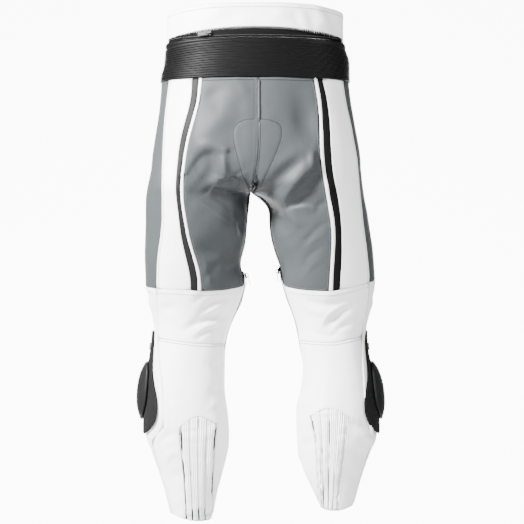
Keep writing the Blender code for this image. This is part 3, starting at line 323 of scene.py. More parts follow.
# ---------------------------------------------------------------- shader expressions
class Value:
    """A socket that can be used in an expression, which adds its Math nodes."""

    def __init__(self, shader, socket):
        self.shader = shader
        self.socket = socket

    def math(self, operation, *others):
        return self.shader.node("ShaderNodeMath", {"operation": operation},
                                [self, *others])

    def __add__(self, other):
        return self.math("ADD", other)

    __radd__ = __add__

    def __sub__(self, other):
        return self.math("SUBTRACT", other)

    def __rsub__(self, other):
        return self.shader.node("ShaderNodeMath", {"operation": "SUBTRACT"}, [other, self])

    def __mul__(self, other):
        return self.math("MULTIPLY", other)

    __rmul__ = __mul__

    def within(self, low, high):
        """0 at low, 1 at high, with a soft step between."""
        settings = {"interpolation_type": "SMOOTHSTEP"}
        return self.shader.node("ShaderNodeMapRange", settings,
                                {"Value": self, "From Min": low, "From Max": high})


class Shader:
    """Node tree of one material."""

    def __init__(self, name, preview):
        self.material = bpy.data.materials.new(name)
        self.material.use_nodes = True
        self.material.diffuse_color = (*preview, 1.0)
        self.tree = self.material.node_tree
        self.surface = self.tree.nodes["Principled BSDF"]
        self.place = self.node("ShaderNodeTexCoord", {}, {}, "Object")

    def node(self, kind, settings, values, output=0):
        made = self.tree.nodes.new(kind)
        for name, setting in settings.items():
            setattr(made, name, setting)
        pairs = values.items() if isinstance(values, dict) else enumerate(values)
        for key, value in pairs:
            self.put(made.inputs[key], value)
        return Value(self, made.outputs[output])

    def put(self, socket, value):
        if isinstance(value, Value):
            self.tree.links.new(value.socket, socket)
        else:
            socket.default_value = value

    def set(self, **values):
        """Sets the surface's own sockets, named with _ for a space."""
        for name, value in values.items():
            self.put(self.surface.inputs[name.replace("_", " ")], value)

    def noise(self, scale, detail=2.0, roughness=0.5):
        return self.node("ShaderNodeTexNoise", {}, {
            "Vector": self.place, "Scale": scale, "Detail": detail,
            "Roughness": roughness})

    def cells(self, scale, feature="F1"):
        return self.node("ShaderNodeTexVoronoi", {"feature": feature}, {
            "Vector": self.place, "Scale": scale}, "Distance")

    def waves(self, scale, direction, distortion=0.0):
        settings = {"wave_type": "BANDS", "bands_direction": direction}
        return self.node("ShaderNodeTexWave", settings, {
            "Vector": self.place, "Scale": scale, "Distortion": distortion}, "Fac")

    def attribute(self, name):
        return self.node("ShaderNodeAttribute", {"attribute_name": name}, {}, "Fac")

    def colour(self, base, factor):
        """A colour times a number that varies."""
        black = (0.0, 0.0, 0.0, 1.0)
        return self.node("ShaderNodeMix", {"data_type": "RGBA"}, {
            "Factor": factor, 6: black, 7: (*base, 1.0)}, 2)

    def bump(self, height, distance, strength=1.0, under=None):
        values = {"Height": height, "Distance": distance, "Strength": strength}
        if under:
            values["Normal"] = under
        return self.node("ShaderNodeBump", {}, values)


def leather(name, base, roughness, shine=0.5, grain=0.00012, tone=0.05, pleated=False):
    """Fine pebbled leather, with painted shade in its seams, sewn lines and pleats."""
    shader = Shader(name, base)
    pebbles = shader.cells(850.0, "SMOOTH_F1")
    pores = shader.noise(2600.0, 2.0)
    soft = shader.noise(9.0, 3.0)
    seam = shader.attribute("seam")
    line = shader.attribute("line").math("ABSOLUTE").within(1.0, 0.3)
    # Painted shade: the turned edges in the seams and the grooves of the sewn lines are
    # darkened; the soft tone and the pebbles are the leather's own.
    shade = (1.0 - seam.within(0.15, 1.0) * 0.5) * (1.0 - line * 0.4)
    shade = shade * (1.0 - tone + soft * (2 * tone)) * (1.0 - pebbles * 0.05)
    relief = shader.bump(pebbles * 0.75 + pores * 0.35, grain)
    creases = shader.bump(shader.noise(70.0, 4.0, 0.6), 0.0006, 0.3, relief)
    normal = shader.bump(1.0 - line, 0.0007, 1.0, creases)
    if pleated:
        shade, normal = pleat_lines(shader, shade, normal)
    shader.set(Base_Color=shader.colour(base, shade),
               Roughness=roughness + soft * 0.12 + pebbles * 0.05,
               Normal=normal)
    shader.surface.inputs["Specular IOR Level"].default_value = shine
    return shader.material


def pleat_lines(shader, shade, normal):
    """Seams between the pleats, open where they gape, and the ribs sewn along them; painted
    shade darkens the seams and the slits.
    """
    across = shader.attribute("pleat")
    gape = shader.attribute("gape")
    away = across.math("PINGPONG", 0.5)
    ribs = (across * (2 * math.pi * RIBS_A_PLEAT)).math("SINE")
    seam = away.within(0.06, 0.01)
    slit = (gape * 0.15 - away).within(0.0, 0.015)
    # Painted shade: darker in the pleat seams and nearly black in the slits where they gape.
    shade = shade * (1.0 - seam * 0.35) * (1.0 - slit * 0.985) * (1.0 + ribs * 0.02)
    return shade, shader.bump(ribs * 0.3 - seam, 0.0013, 1.0, normal)


def stretch_fabric(name, base):
    """Ribbed stretch fabric: its ribs run round the leg."""
    shader = Shader(name, base)
    ribs = shader.waves(62.0, "Z", 0.6)
    fibres = shader.noise(1800.0, 2.0)
    seam = shader.attribute("seam")
    # Painted shade: darker at the turned seam edge.
    shade = (0.55 + ribs * 0.6 + fibres * 0.25) * (1.0 - seam * 0.5)
    shader.set(Base_Color=shader.colour(base, shade), Roughness=0.82,
               Normal=shader.bump(ribs + fibres * 0.25, 0.0009))
    shader.surface.inputs["Specular IOR Level"].default_value = 0.15
    return shader.material


def woven_tape(name, base):
    """Black tape, woven square with a slanting thread."""
    shader = Shader(name, base)
    weft = shader.waves(190.0, "Z")
    warp = shader.waves(150.0, "DIAGONAL")
    shader.set(Base_Color=shader.colour(base, 0.7 + weft * 0.5),
               Roughness=0.75, Normal=shader.bump(weft * warp, 0.0004))
    shader.surface.inputs["Specular IOR Level"].default_value = 0.05
    return shader.material


def loop_pile(name, base):
    """The fuzzy half of hook and loop."""
    shader = Shader(name, base)
    tufts = shader.cells(620.0)
    fuzz = shader.noise(1500.0, 3.0, 0.7)
    shader.set(Base_Color=shader.colour(base, 0.55 + tufts * 0.7 + fuzz * 0.4),
               Roughness=0.95, Normal=shader.bump(tufts + fuzz, 0.0014))
    shader.surface.inputs["Specular IOR Level"].default_value = 0.15
    return shader.material


def moulded(name, base, roughness, relief=0.00025):
    """Moulded plastic or rubber with a fine grain and soft scuffs."""
    shader = Shader(name, base)
    grain = shader.noise(900.0, 2.0)
    scuffs = shader.noise(45.0, 5.0, 0.65)
    shader.set(Base_Color=shader.colour(base, 0.8 + scuffs * 0.4),
               Roughness=roughness + scuffs * 0.18,
               Normal=shader.bump(grain + scuffs * 0.6, relief))
    shader.surface.inputs["Specular IOR Level"].default_value = 0.1
    return shader.material


def zip_metal(name, base):
    """Dark plated metal, worn unevenly."""
    shader = Shader(name, base)
    wear = shader.noise(160.0, 4.0, 0.6)
    shader.set(Base_Color=shader.colour(base, 0.75 + wear * 0.5), Metallic=0.35,
               Roughness=0.34 + wear * 0.2, Normal=shader.bump(wear, 0.0001))
    shader.surface.inputs["Specular IOR Level"].default_value = 0.25
    return shader.material


def thread(name, base):
    """Twisted sewing thread."""
    shader = Shader(name, base)
    twist = shader.noise(1400.0, 1.0)
    shader.set(Base_Color=shader.colour(base, 0.8 + twist * 0.3), Roughness=0.6,
               Normal=shader.bump(twist, 0.0001))
    return shader.material


def studio_paper(name, base):
    """White paper that glows where it hangs behind the garment."""
    shader = Shader(name, base)
    depth = shader.node("ShaderNodeSeparateXYZ", {}, {"Vector": shader.place}, "Y")
    shader.set(Base_Color=(*base, 1.0), Roughness=0.9,
               Emission_Color=shader.colour((1, 1, 1), depth.within(-2.6, -4.2)),
               Normal=shader.bump(shader.noise(400.0), 0.0002))
    shader.surface.inputs["Emission Strength"].default_value = BACKDROP_GLOW
    return shader.material


FINISHES = {}


def finish(name):
    """The material of one finish, made when it is first asked for."""
    if name not in FINISHES:
        look = bpy.context.scene.trousers_look
        makers = {
            "white": lambda: leather("white leather", look.white, 0.42, 0.4, 0.0001, 0.02),
            "pleats": lambda: leather("pleated leather", look.white, 0.42, 0.4, 0.0001,
                                      0.02, True),
            "grey": lambda: leather("grey leather", look.grey, 0.46, 0.14),
            "black": lambda: leather("black leather", look.black, 0.36, 0.09, tone=0.1),
            "stripe_L": lambda: leather("left stripe leather", look.stripe_left, 0.5, 0.08),
            "stripe_R": lambda: leather("right stripe leather", look.black, 0.5, 0.03),
            "stretch": lambda: stretch_fabric("stretch fabric", look.stretch),
            "tape": lambda: woven_tape("zip tape", look.tape),
            "pile": lambda: loop_pile("loop pile", (0.004, 0.004, 0.004)),
            "puck": lambda: moulded("knee slider plastic", look.puck, 0.32),
            "tab": lambda: moulded("tab rubber", (0.07, 0.07, 0.07), 0.5),
            "teeth": lambda: moulded("zip teeth", (0.0015, 0.0015, 0.0015), 0.6, 0.00005),
            "metal": lambda: zip_metal("zip metal", look.metal),
            # Painted shade: the white thread is set to a grey for the shadows of its stitch
            # holes.
            "white thread": lambda: thread("white thread", (0.55, 0.55, 0.55)),
            "grey thread": lambda: thread("grey thread", (0.06, 0.064, 0.066)),
            "tape thread": lambda: thread("tape thread", (0.05, 0.05, 0.05)),
            "black thread": lambda: thread("black thread", (0.03, 0.03, 0.03)),
            "paper": lambda: studio_paper("studio paper", (0.72, 0.72, 0.72)),
        }
        FINISHES[name] = makers[name]()
    return FINISHES[name]


# ---------------------------------------------------------------- reading the solids
LEGS_FROM = -290 * MM    # height below which the legs part
LEG_AXIS = 130 * MM      # from the middle plane to a leg's middle


def from_axis(point):
    """Direction from the middle of the body or leg outwards to a point."""
    axis = 0 if point.z > LEGS_FROM else math.copysign(LEG_AXIS, point.x)
    return Vector((point.x - axis, point.y, 0)).normalized()


def facing(faces):
    """How far a group of faces looks outwards, by its area."""
    return sum(f.calc_area() * f.normal.dot(from_axis(f.calc_center_median()))
               for f in faces)


def smooth_groups(bm, angle):
    """Faces joined without a sharp edge, largest group first."""
    seen, groups = set(), []
    for start in bm.faces:
        if start in seen:
            continue
        seen.add(start)
        stack, group = [start], []
        while stack:
            face = stack.pop()
            group.append(face)
            for edge in face.edges:
                if len(edge.link_faces) == 2 and edge.calc_face_angle() < angle:
                    fresh = [f for f in edge.link_faces if f not in seen]
                    seen.update(fresh)
                    stack.extend(fresh)
        groups.append(group)
    return sorted(groups, key=lambda group: -sum(f.calc_area() for f in group))


def outer_layer(node, ribbed=False):
    """The outside of a CAD wall as an open sheet of quads."""
    bm = bmesh.new()
    bm.from_mesh(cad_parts[node].data)
    bmesh.ops.remove_doubles(bm, verts=bm.verts[:], dist=0.01 * MM)
    bm.normal_update()
    if ribbed:
        outer = {f for f in bm.faces
                 if f.normal.dot(from_axis(f.calc_center_median())) > 0.3}
    else:
        groups = smooth_groups(bm, math.radians(60))
        outer = set(max(groups[:2], key=facing))
    bmesh.ops.delete(bm, geom=[f for f in bm.faces if f not in outer], context="FACES")
    bmesh.ops.join_triangles(bm, faces=bm.faces[:], angle_face_threshold=math.pi,
                             angle_shape_threshold=math.pi)
    return bm


def border(bm):
    """The boundary points of an open sheet in order, split at its corners."""
    start = next(e for e in bm.edges if e.is_boundary).verts[0]
    loop, vert, came = [start], start, None
    while True:
        edge = next(e for e in vert.link_edges if e.is_boundary and e is not came)
        vert, came = edge.other_vert(vert), edge
        if vert is start:
            break
        loop.append(vert)
    count = len(loop)
    points = [v.co.copy() for v in loop]
    corners = []
    for i in range(count):
        before = (points[i] - points[i - 1]).normalized()
        after = (points[(i + 1) % count] - points[i]).normalized()
        if before.dot(after) < 0.5:
            corners.append(i)
    if not corners:
        return [points + points[:1]]
    chains = []
    for a, b in zip(corners, corners[1:] + [corners[0] + count]):
        chains.append([points[k % count] for k in range(a, b + 1)])
    return chains


def along(points, spacing):
    """Places at even spacing on a polyline, as (point, direction)."""
    places, carry = [], spacing / 2
    for a, b in zip(points, points[1:]):
        step = b - a
        length = step.length
        while carry <= length:
            places.append((a + step * (carry / length), step / length))
            carry += spacing
        carry -= length
    return places


# ---------------------------------------------------------------- relief of the cloth
def crease_height(creases, a, z):
    """Height in millimetres of a list of creases at arrays of places."""
    total = np.zeros_like(a)
    for c in creases:
        if isinstance(c, Hollow):
            turn = math.radians(c.turn)
            along = (a - c.x) * math.cos(turn) + (z - c.z) * math.sin(turn)
            aside = (z - c.z) * math.cos(turn) - (a - c.x) * math.sin(turn)
            total += c.height * np.exp(-((along / c.wide) ** 2) - (aside / c.high) ** 2)
            continue
        dx, dz = c.x2 - c.x1, c.z2 - c.z1
        length = math.hypot(dx, dz)
        t = np.clip(((a - c.x1) * dx + (z - c.z1) * dz) / length**2, 0, 1)
        bow = c.bend * 4 * t * (1 - t)
        px = c.x1 + dx * t - dz / length * bow
        pz = c.z1 + dz * t + dx / length * bow
        left = (z - pz) * dx - (a - px) * dz > 0
        width = np.where(left, c.other or c.width, c.width)
        away = np.hypot(a - px, z - pz) / width
        taper = np.sin(np.pi * np.clip(t, 0.08, 0.92)) ** 0.6
        total += c.height * taper * np.exp(-away**2)
    return total


CROTCH_Z = -296          # the seams that meet there stay free of folds


def steady(value):
    """0 below 0, 1 above 1, with a soft step between."""
    value = np.clip(value, 0, 1)
    return value * value * (3 - 2 * value)


def fold_heights(points, normals):
    """Height in millimetres of all folds at a shell's points."""
    x, y, z = (points[:, i] / MM for i in range(3))
    total = np.zeros(len(points))
    for side, sign in SIDES.items():
        outwards = x * sign
        mine = steady(outwards / 16 + 0.5)
        back = steady(normals[:, 1] / 0.5)
        front = steady(-normals[:, 1] / 0.5)
        outer = steady((normals[:, 0] * sign - 0.35) / 0.4)
        total += mine * back * crease_height(BACK_CREASES[side], outwards, z)
        total += mine * front * crease_height(FRONT_CREASES[side], outwards, z)
        total += mine * outer * crease_height(OUTER_CREASES[side], y, z)
    return total * steady((np.hypot(x, z - CROTCH_Z) - 8) / 20)


def soft_noise(points, size, seed):
    """Smooth noise from -1 to 1 with bumps of about the given size."""
    shift = Vector((seed * 7.3, seed * 3.1, seed * 5.7))
    return np.array([noise.noise(Vector(p) / size + shift) for p in points])


def outline_distance(points, x, z):
    """Distance in millimetres from a polyline of (x, z) points."""
    best = np.full_like(x, 1e9)
    for a, b in zip(points, points[1:]):
        dx, dz = b[0] - a[0], b[1] - a[1]
        t = np.clip(((x - a[0]) * dx + (z - a[1]) * dz) / (dx * dx + dz * dz), 0, 1)
        best = np.minimum(best, np.hypot(x - a[0] - dx * t, z - a[1] - dz * t))
    return best


# ---------------------------------------------------------------- making shells
def add_object(name, mesh, material):
    """A smooth object of one material, in the scene."""
    mesh.materials.clear()
    mesh.materials.append(material)
    mesh.shade_smooth()
    obj = bpy.data.objects.new(name, mesh)
    bpy.context.scene.collection.objects.link(obj)
    return obj


def settled(obj):
    """Replace an object's mesh by what its modifiers make of it."""
    graph = bpy.context.evaluated_depsgraph_get()
    mesh = bpy.data.meshes.new_from_object(obj.evaluated_get(graph))
    old = obj.data
    obj.modifiers.clear()
    obj.data = mesh
    bpy.data.meshes.remove(old)
    mesh.name = obj.name
    return mesh


def subdivide(obj, levels):
    """Rounds an object's mesh, and gives back the new mesh."""
    modifier = obj.modifiers.new("Subdivision", "SUBSURF")
    modifier.levels = modifier.render_levels = levels
    modifier.boundary_smooth = "PRESERVE_CORNERS"
    return settled(obj)


def read(mesh, attribute, width):
    """A vertex property as an array, a row for each vertex."""
    values = np.zeros(len(mesh.vertices) * width, np.float32)
    mesh.vertices.foreach_get(attribute, values)
    return values.reshape(-1, width) if width > 1 else values


def stored(mesh, name):
    """A stored attribute as an array."""
    values = np.zeros(len(mesh.vertices), np.float32)
    mesh.attributes[name].data.foreach_get("value", values)
    return values


def store(mesh, name, values):
    """Keeps a number for each vertex, which a material can read."""
    attribute = mesh.attributes.get(name) or mesh.attributes.new(name, "FLOAT", "POINT")
    attribute.data.foreach_set("value", values.astype(np.float32))


def keep_corners(bm):
    """Keeps the corners of a sheet's border sharp when it is subdivided."""
    crease = bm.verts.layers.float.new("crease_vert")
    for vert in bm.verts:
        edges = [e for e in vert.link_edges if e.is_boundary]
        if len(edges) == 2:
            a, b = (e.other_vert(vert).co - vert.co for e in edges)
            if a.angle(b) < math.radians(140):
                vert[crease] = 1.0


def turn_edges_under(bm, sizes, stitched):
    """Rings beside a sheet's border: its edge goes down, and a ring takes the stitches."""
    keep_corners(bm)
    seam = bm.verts.layers.float.new("seam")
    row = bm.verts.layers.float.new("row")
    crease = bm.verts.layers.float["crease_vert"]
    inner = bm.faces[:]
    options = dict(use_boundary=True, use_even_offset=True)
    bmesh.ops.inset_region(bm, faces=inner, thickness=sizes.edge, **options)
    if stitched:
        bmesh.ops.inset_region(bm, faces=inner, thickness=sizes.stitch_inset - sizes.edge,
                               **options)
        inside = set(inner)
        ring = [v for v in bm.verts if any(f in inside for f in v.link_faces)
                and any(f not in inside for f in v.link_faces)]
        for vert in ring:
            vert[row] = 1.0
        bmesh.ops.inset_region(bm, faces=inner, thickness=0.4 * sizes.stitch_inset,
                               **options)
        inside = set(inner)
        for vert in bm.verts:
            if vert[row] and any(f in inside for f in vert.link_faces):
                vert[row] = 0.0
    bm.normal_update()
    for vert in bm.verts:
        if not vert.is_boundary:
            vert[crease] = 0.0
            continue
        # Marks the turned edge, which the materials darken as painted shade.
        vert[seam] = 1.0
        inwards = sum((e.other_vert(vert).co - vert.co for e in vert.link_edges
                       if not e.is_boundary), Vector())
        if inwards.length:
            vert.co -= inwards.normalized() * sizes.meet
        vert.co -= vert.normal * sizes.sink
    for vert in bm.verts:
        if vert[row]:
            vert.co -= vert.normal * (0.3 * MM)


def finish_shell(obj, node, sizes):
    """Gives a sheet its thickness and ties it to its solid."""
    wall = obj.modifiers.new("Leather", "SOLIDIFY")
    wall.thickness = sizes.shell
    wall.offset = -1.0
    wall.use_even_offset = False
    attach(obj, BODY)
    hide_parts(node)


def chain_length(chain):
    """Length of a polyline in metres."""
    return sum((b - a).length for a, b in zip(chain, chain[1:]))


def edge_chain(chains, side):
    """The highest, lowest or middlemost of the longer border chains."""
    longest = max(chain_length(c) for c in chains)
    long = [c for c in chains if chain_length(c) > 0.25 * longest]
    if side == "middle":
        return min(long, key=lambda c: sum(abs(p.x) for p in c) / len(c))
    high = {"top": 1, "foot": -1}[side]
    return max(long, key=lambda c: high * sum(p.z for p in c) / len(c))


def distance_to(points, chain):
    """Distance in millimetres of points from a polyline."""
    best = np.full(len(points), 1e9)
    for a, b in zip(chain, chain[1:]):
        a, step = np.array(a), np.array(b - a)
        t = np.clip((points - a) @ step / (step @ step), 0, 1)
        best = np.minimum(best, np.linalg.norm(points - a - t[:, None] * step, axis=1))
    return best / MM


THREADS = {"white": "white thread", "grey": "grey thread"}
SEWN = []

# Sewn lines beside a border, as (border, distance, height of the band between), in mm.
RIB_FOOT_LINE = ("top", 5.5, 0.5)
KNEE_LINE = ("top", 9.0, 0.9)
SEAM_LINE = ("top", 4.5, 0.4)
HEM_LINE = ("foot", 11.0, 0.5)
MIDDLE_LINE = ("middle", 8.5, 0.15)
LINE_REACH = 3.0         # mm, how far from a sewn line its distance is kept
# Slack of the cloth between its folds: size in metres, height in mm.
WIDE_SLACK = (0.055, 0.9)
FINE_SLACK = (0.02, 0.35)
# For a panel's flat size: the share of its rectangle that it fills, and the least width.
CUT_SHARE = 0.85
LEAST_CUT = 10.5 * MM


def panel(node, look, levels=2, stitched=True, lines=(), extra=None, ripple=1.0,
          cut=None):
    """One cloth panel, sewn over its solid; its cut is as long as it is high, or as given."""
    sizes = bpy.context.scene.trousers_sizes
    bm = outer_layer(node)
    area = sum(f.calc_area() for f in bm.faces)
    chains = border(bm)
    turn_edges_under(bm, sizes, stitched)
    mesh = bpy.data.meshes.new(f"{node}_panel")
    bm.to_mesh(mesh)
    bm.free()
    obj = add_object(f"{node}_panel", mesh, finish(look))
    mesh = subdivide(obj, levels)

    points = read(mesh, "co", 3)
    normals = np.array([v.normal for v in mesh.vertices])
    seed = sum(map(ord, node)) % 17
    height = sizes.folds * fold_heights(points, normals)
    for (size, high), start in ((WIDE_SLACK, 1), (FINE_SLACK, seed)):
        height += ripple * high * soft_noise(points, size, start)
    line = np.full(len(points), LINE_REACH)
    for side, inset, rise in lines:
        away = distance_to(points, edge_chain(chains, side)) - inset
        line = np.minimum(line, np.clip(away, -LINE_REACH, LINE_REACH))
        height += rise * steady(0.5 - away / 2) * steady(away / inset + 1)
    # The leather darkens the sewn lines' grooves from this distance, as painted shade.
    store(mesh, "line", line)
    if extra:
        height += extra(mesh, points)
    moved = points + normals * (height * MM)[:, None]
    mesh.vertices.foreach_set("co", moved.astype(np.float32).ravel())
    mesh.update()
    if stitched:
        SEWN.append((obj, look))
    finish_shell(obj, node, sizes)
    low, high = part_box(node)
    length = cut or high.z - low.z
    width = max(area / length / CUT_SHARE, LEAST_CUT)
    return obj


def rounded(points):
    """A closed outline with its corners cut twice."""
    for _ in range(2):
        cut = []
        for (ax, az), (bx, bz) in zip(points, points[1:] + points[:1]):
            cut += [(0.75 * ax + 0.25 * bx, 0.75 * az + 0.25 * bz),
                    (0.25 * ax + 0.75 * bx, 0.25 * az + 0.75 * bz)]
        points = cut
    return points


def seat_pad(mesh, points):
    """The pad's outline as a sewn line, and the pad a little raised within it."""
    x, z = points[:, 0] / MM, points[:, 2] / MM
    corners = rounded([(p.x, p.z) for p in PAD_OUTLINE])
    away = outline_distance(corners + corners[:1], x, z)
    inside = np.zeros(len(points), bool)
    for (ax, az), (bx, bz) in zip(corners, corners[1:] + corners[:1]):
        crosses = (az > z) != (bz > z)
        with np.errstate(divide="ignore", invalid="ignore"):
            at = ax + (z - az) * (bx - ax) / (bz - az if bz != az else 1e-9)
        inside ^= crosses & (x < at)
    signed = np.where(inside, -away, away)
    signed = np.where(points[:, 1] > 0, signed, LINE_REACH)
    # The pad's outline joins the sewn lines, darkened by the leather as painted shade.
    store(mesh, "line", np.minimum(stored(mesh, "line"),
                                   np.clip(signed, -LINE_REACH, LINE_REACH)))
    relief = 1.1 * steady(0.5 - signed / 8) - 0.5 * np.exp(-((signed / 2.5) ** 2))
    return relief * steady((np.hypot(x, z - CROTCH_Z) - 6) / 14)


def pleats(side):
    """Flat sewn pleats that pucker, with seams that gape in places."""
    rows = INSERT_SIDES[side]
    heights = [row.z for row in rows][::-1]
    outer = [row.outer for row in rows][::-1]
    inner = [row.inner for row in rows][::-1]

    def relief(mesh, points):
        z = points[:, 2] / MM
        x = points[:, 0] / MM * SIDES[side]
        start, end = np.interp(z, heights, inner), np.interp(z, heights, outer)
        place = (end - x) / (end - start) * PLEATS
        gape = np.zeros(len(points))
        for slit in SLITS[side]:
            t = (slit.top - z) / (slit.top - slit.foot)
            long = steady(t / 0.25) * steady((1 - t) / 0.25 if not slit.hem else 9.0)
            near = np.exp(-(((place - slit.seam) / 0.3) ** 2))
            gape = np.maximum(gape, slit.width * long * near * (t > 0))
        store(mesh, "pleat", place + 40)
        store(mesh, "gape", gape)
        near = np.abs(place - np.round(place))
        soft = 0.5 * (1 - steady(near * 5)) + 1.2 * gape * (1 - steady(near * 6))
        pucker = 2.0 * soft_noise(points * np.array([0.25, 0.25, 1.0]), 0.008, 5)
        return pucker * steady((heights[-1] + 24 - z) / 30) - soft

    return relief


# ---------------------------------------------------------------- small repeated pieces
def scattered(name, template, matrices, material):
    """One mesh with a copy of a small template at each matrix."""
    points = read(template, "co", 3)
    turns = np.array([[list(row) for row in m] for m in matrices])
    placed = np.einsum("nij,kj->nki", turns[:, :3, :3], points) + turns[:, None, :3, 3]
    faces = [list(p.vertices) for p in template.polygons]
    count = len(points)
    mesh = bpy.data.meshes.new(name)
    mesh.from_pydata(placed.reshape(-1, 3).tolist(), [],
                     [[v + i * count for v in face] for i in range(len(matrices))
                      for face in faces])
    mesh.validate()
    return add_object(name, mesh, material)


def set_at(place, direction, up):
    """Matrix with x along the direction and z as near up as can be."""
    x = direction.normalized()
    y = up.cross(x).normalized()
    z = x.cross(y)
    turn = Matrix((x, y, z)).transposed().to_4x4()
    return Matrix.Translation(place) @ turn


def stitch_template(length, thick):
    """One stitch: a thin rounded bead along x."""
    bm = bmesh.new()
    bmesh.ops.create_uvsphere(bm, u_segments=5, v_segments=4, radius=1.0)
    bmesh.ops.rotate(bm, verts=bm.verts[:], matrix=Matrix.Rotation(math.pi / 2, 3, "Y"))
    bmesh.ops.scale(bm, verts=bm.verts[:], vec=(length / 2, thick / 2, thick / 2))
    mesh = bpy.data.meshes.new("stitch")
    bm.to_mesh(mesh)
    bm.free()
    return mesh


def stitch_rows(obj):
    """Points and normals of the rings that take the stitches, as chains."""
    mesh = obj.data
    on = stored(mesh, "row") > 0.97
    links = {}
    for edge in mesh.edges:
        a, b = edge.vertices
        if on[a] and on[b]:
            links.setdefault(a, []).append(b)
            links.setdefault(b, []).append(a)
    left = set(links)
    chains = []
    while left:
        start = next(iter(left))
        chain = [start]
        left.discard(start)
        while True:
            following = [v for v in links[chain[-1]] if v in left]
            if not following:
                break
            chain.append(following[0])
            left.discard(following[0])
        if chain[0] in links[chain[-1]] and len(chain) > 2:
            chain.append(chain[0])
        chains.append(chain)
    return mesh, chains


def sew_all():
    """Stitches on every panel, joined by thread."""
    sizes = bpy.context.scene.trousers_sizes
    template = stitch_template(0.78 * sizes.stitch_pitch, 0.75 * MM)
    by_thread = {}
    for obj, look in SEWN:
        mesh, chains = stitch_rows(obj)
        matrices = by_thread.setdefault(THREADS.get(look, "black thread"), [])
        for chain in chains:
            points = [mesh.vertices[i].co.copy() for i in chain]
            normals = [mesh.vertices[i].normal.copy() for i in chain]
            carry = sizes.stitch_pitch / 2
            for i in range(len(points) - 1):
                step = points[i + 1] - points[i]
                length = step.length
                while carry <= length and length > 0:
                    t = carry / length
                    up = normals[i].lerp(normals[i + 1], t)
                    place = points[i].lerp(points[i + 1], t) + up * (0.12 * MM)
                    matrices.append(set_at(place, step, up))
                    carry += sizes.stitch_pitch
                carry -= length
    for name, matrices in by_thread.items():
        piece = scattered(name.replace(" ", "_"), template, matrices, finish(name))
        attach(piece, BODY)


# ---------------------------------------------------------------- pieces by group
def make_waist():
    """Yoke, front waistband, front waist, tab and the ribbed panel."""
    panel("yoke_back", "white", 2, lines=[("top", 9.0, 0.5)])
    for side in SIDES:
        panel(f"waistband_front_{side}", "white", 2, lines=[("top", 9.0, 0.5)])
        panel(f"waist_front_{side}", "black", 1)
    panel("waist_tab", "white", 2, ripple=0.1, cut=TAB_CUT)
    make_ribs()


RIB_DEPTH = 1.8          # of the rolls, as a share of the solid's
RIB_ARCH = 0.09          # share of their height by which the ribs come down at the sides
RIB_FLAT = 0.11          # metres, height of the ribbed panel's cut


def make_ribs():
    """The padded rolls of the waist, a little uneven."""
    sizes = bpy.context.scene.trousers_sizes
    bm = outer_layer("rib_panel_back", ribbed=True)
    area = sum(f.calc_area() for f in bm.faces)
    mesh = bpy.data.meshes.new("rib_panel_back_panel")
    bm.to_mesh(mesh)
    bm.free()
    obj = add_object("rib_panel_back_panel", mesh, finish("black"))
    mesh = subdivide(obj, 2)
    points = read(mesh, "co", 3)
    normals = np.array([from_axis(v.co) for v in mesh.vertices])
    z = points[:, 2].copy()
    foot, top = z.min(), z.max()
    share = (z - foot) / (top - foot)
    wave = 1.0 * soft_noise(points, 0.05, 3) + 0.25 * soft_noise(points, 0.014, 4)
    inside = steady((1 - share) / 0.08) * steady(share / 0.08)
    aside = np.minimum(np.abs(points[:, 0]) / 0.15, 1.15) ** 2
    arch = RIB_ARCH * aside * (z - foot) * steady((1 - share) / 0.03)
    points[:, 2] += (wave * MM - arch) * inside
    follow_waist(points, z)
    points += normals * (0.25 * soft_noise(points, 0.02, 6) * inside * MM)[:, None]
    mesh.vertices.foreach_set("co", points.astype(np.float32).ravel())
    mesh.update()
    finish_shell(obj, "rib_panel_back", sizes)
    area / RIB_FLAT


def follow_waist(points, old_z):
    """Deepens the rolls and keeps them on the waist's wall at their new height."""
    around = np.arctan2(-points[:, 0], points[:, 1])
    reach = np.hypot(points[:, 0], points[:, 1])
    walls = []
    for at in (old_z.min(), old_z.max()):
        rim = np.abs(old_z - at) < 0.4 * MM
        order = np.argsort(around[rim])
        walls.append(np.interp(around, around[rim][order], reach[rim][order]))
    slope = (walls[1] - walls[0]) / (old_z.max() - old_z.min())
    wall = walls[0] + slope * (old_z - old_z.min())
    proud = RIB_DEPTH * (reach - wall)
    factor = (wall + proud + slope * (points[:, 2] - old_z)) / reach
    points[:, :2] *= factor[:, None]


def make_seat_and_thighs():
    """The grey panels, the stripes and the stretch panels, down to the knee seams."""
    top = [RIB_FOOT_LINE]
    for side in SIDES:
        seams = top + [MIDDLE_LINE] if side == "L" else top
        panel(f"seat_{side}", "grey", 3, lines=seams, extra=seat_pad)
        panel(f"front_{side}", "grey", 1, lines=top)
        panel(f"side_{side}", "grey", 2, lines=top)
        panel(f"stripe_wide_{side}", "white", 2, lines=top)
        panel(f"stripe_dark_{side}", f"stripe_{side}", 2, stitched=False, ripple=0.7)
        panel(f"stripe_narrow_{side}", "white", 2, stitched=False, ripple=0.7)
        panel(f"inner_stretch_{side}", "stretch", 2, stitched=False)


def make_lower_legs():
    """The white panels below the knee seams."""
    for side in SIDES:
        panel(f"knee_front_{side}", "white", 2, lines=[KNEE_LINE])
        panel(f"shin_front_{side}", "white", 2, lines=[SEAM_LINE, HEM_LINE])
        panel(f"shin_side_{side}", "white", 2, lines=[KNEE_LINE, HEM_LINE])
        panel(f"knee_back_{side}", "white", 3, lines=[KNEE_LINE])
        panel(f"calf_back_{side}", "white", 3, lines=[SEAM_LINE])
        panel(f"calf_insert_{side}", "pleats", 3, stitched=False, lines=[HEM_LINE],
              extra=pleats(side), ripple=0.4)


def make_knee_sliders():
    """On each knee a loop base, a domed plastic puck and a rubber tab."""
    for side in SIDES:
        panel(f"slider_base_{side}", "pile", 2, stitched=False, ripple=0.3)
        smooth_solid(f"slider_puck_{side}", "puck", 1.2 * MM)
        smooth_solid(f"slider_tab_{side}", "tab", 0.4 * MM)


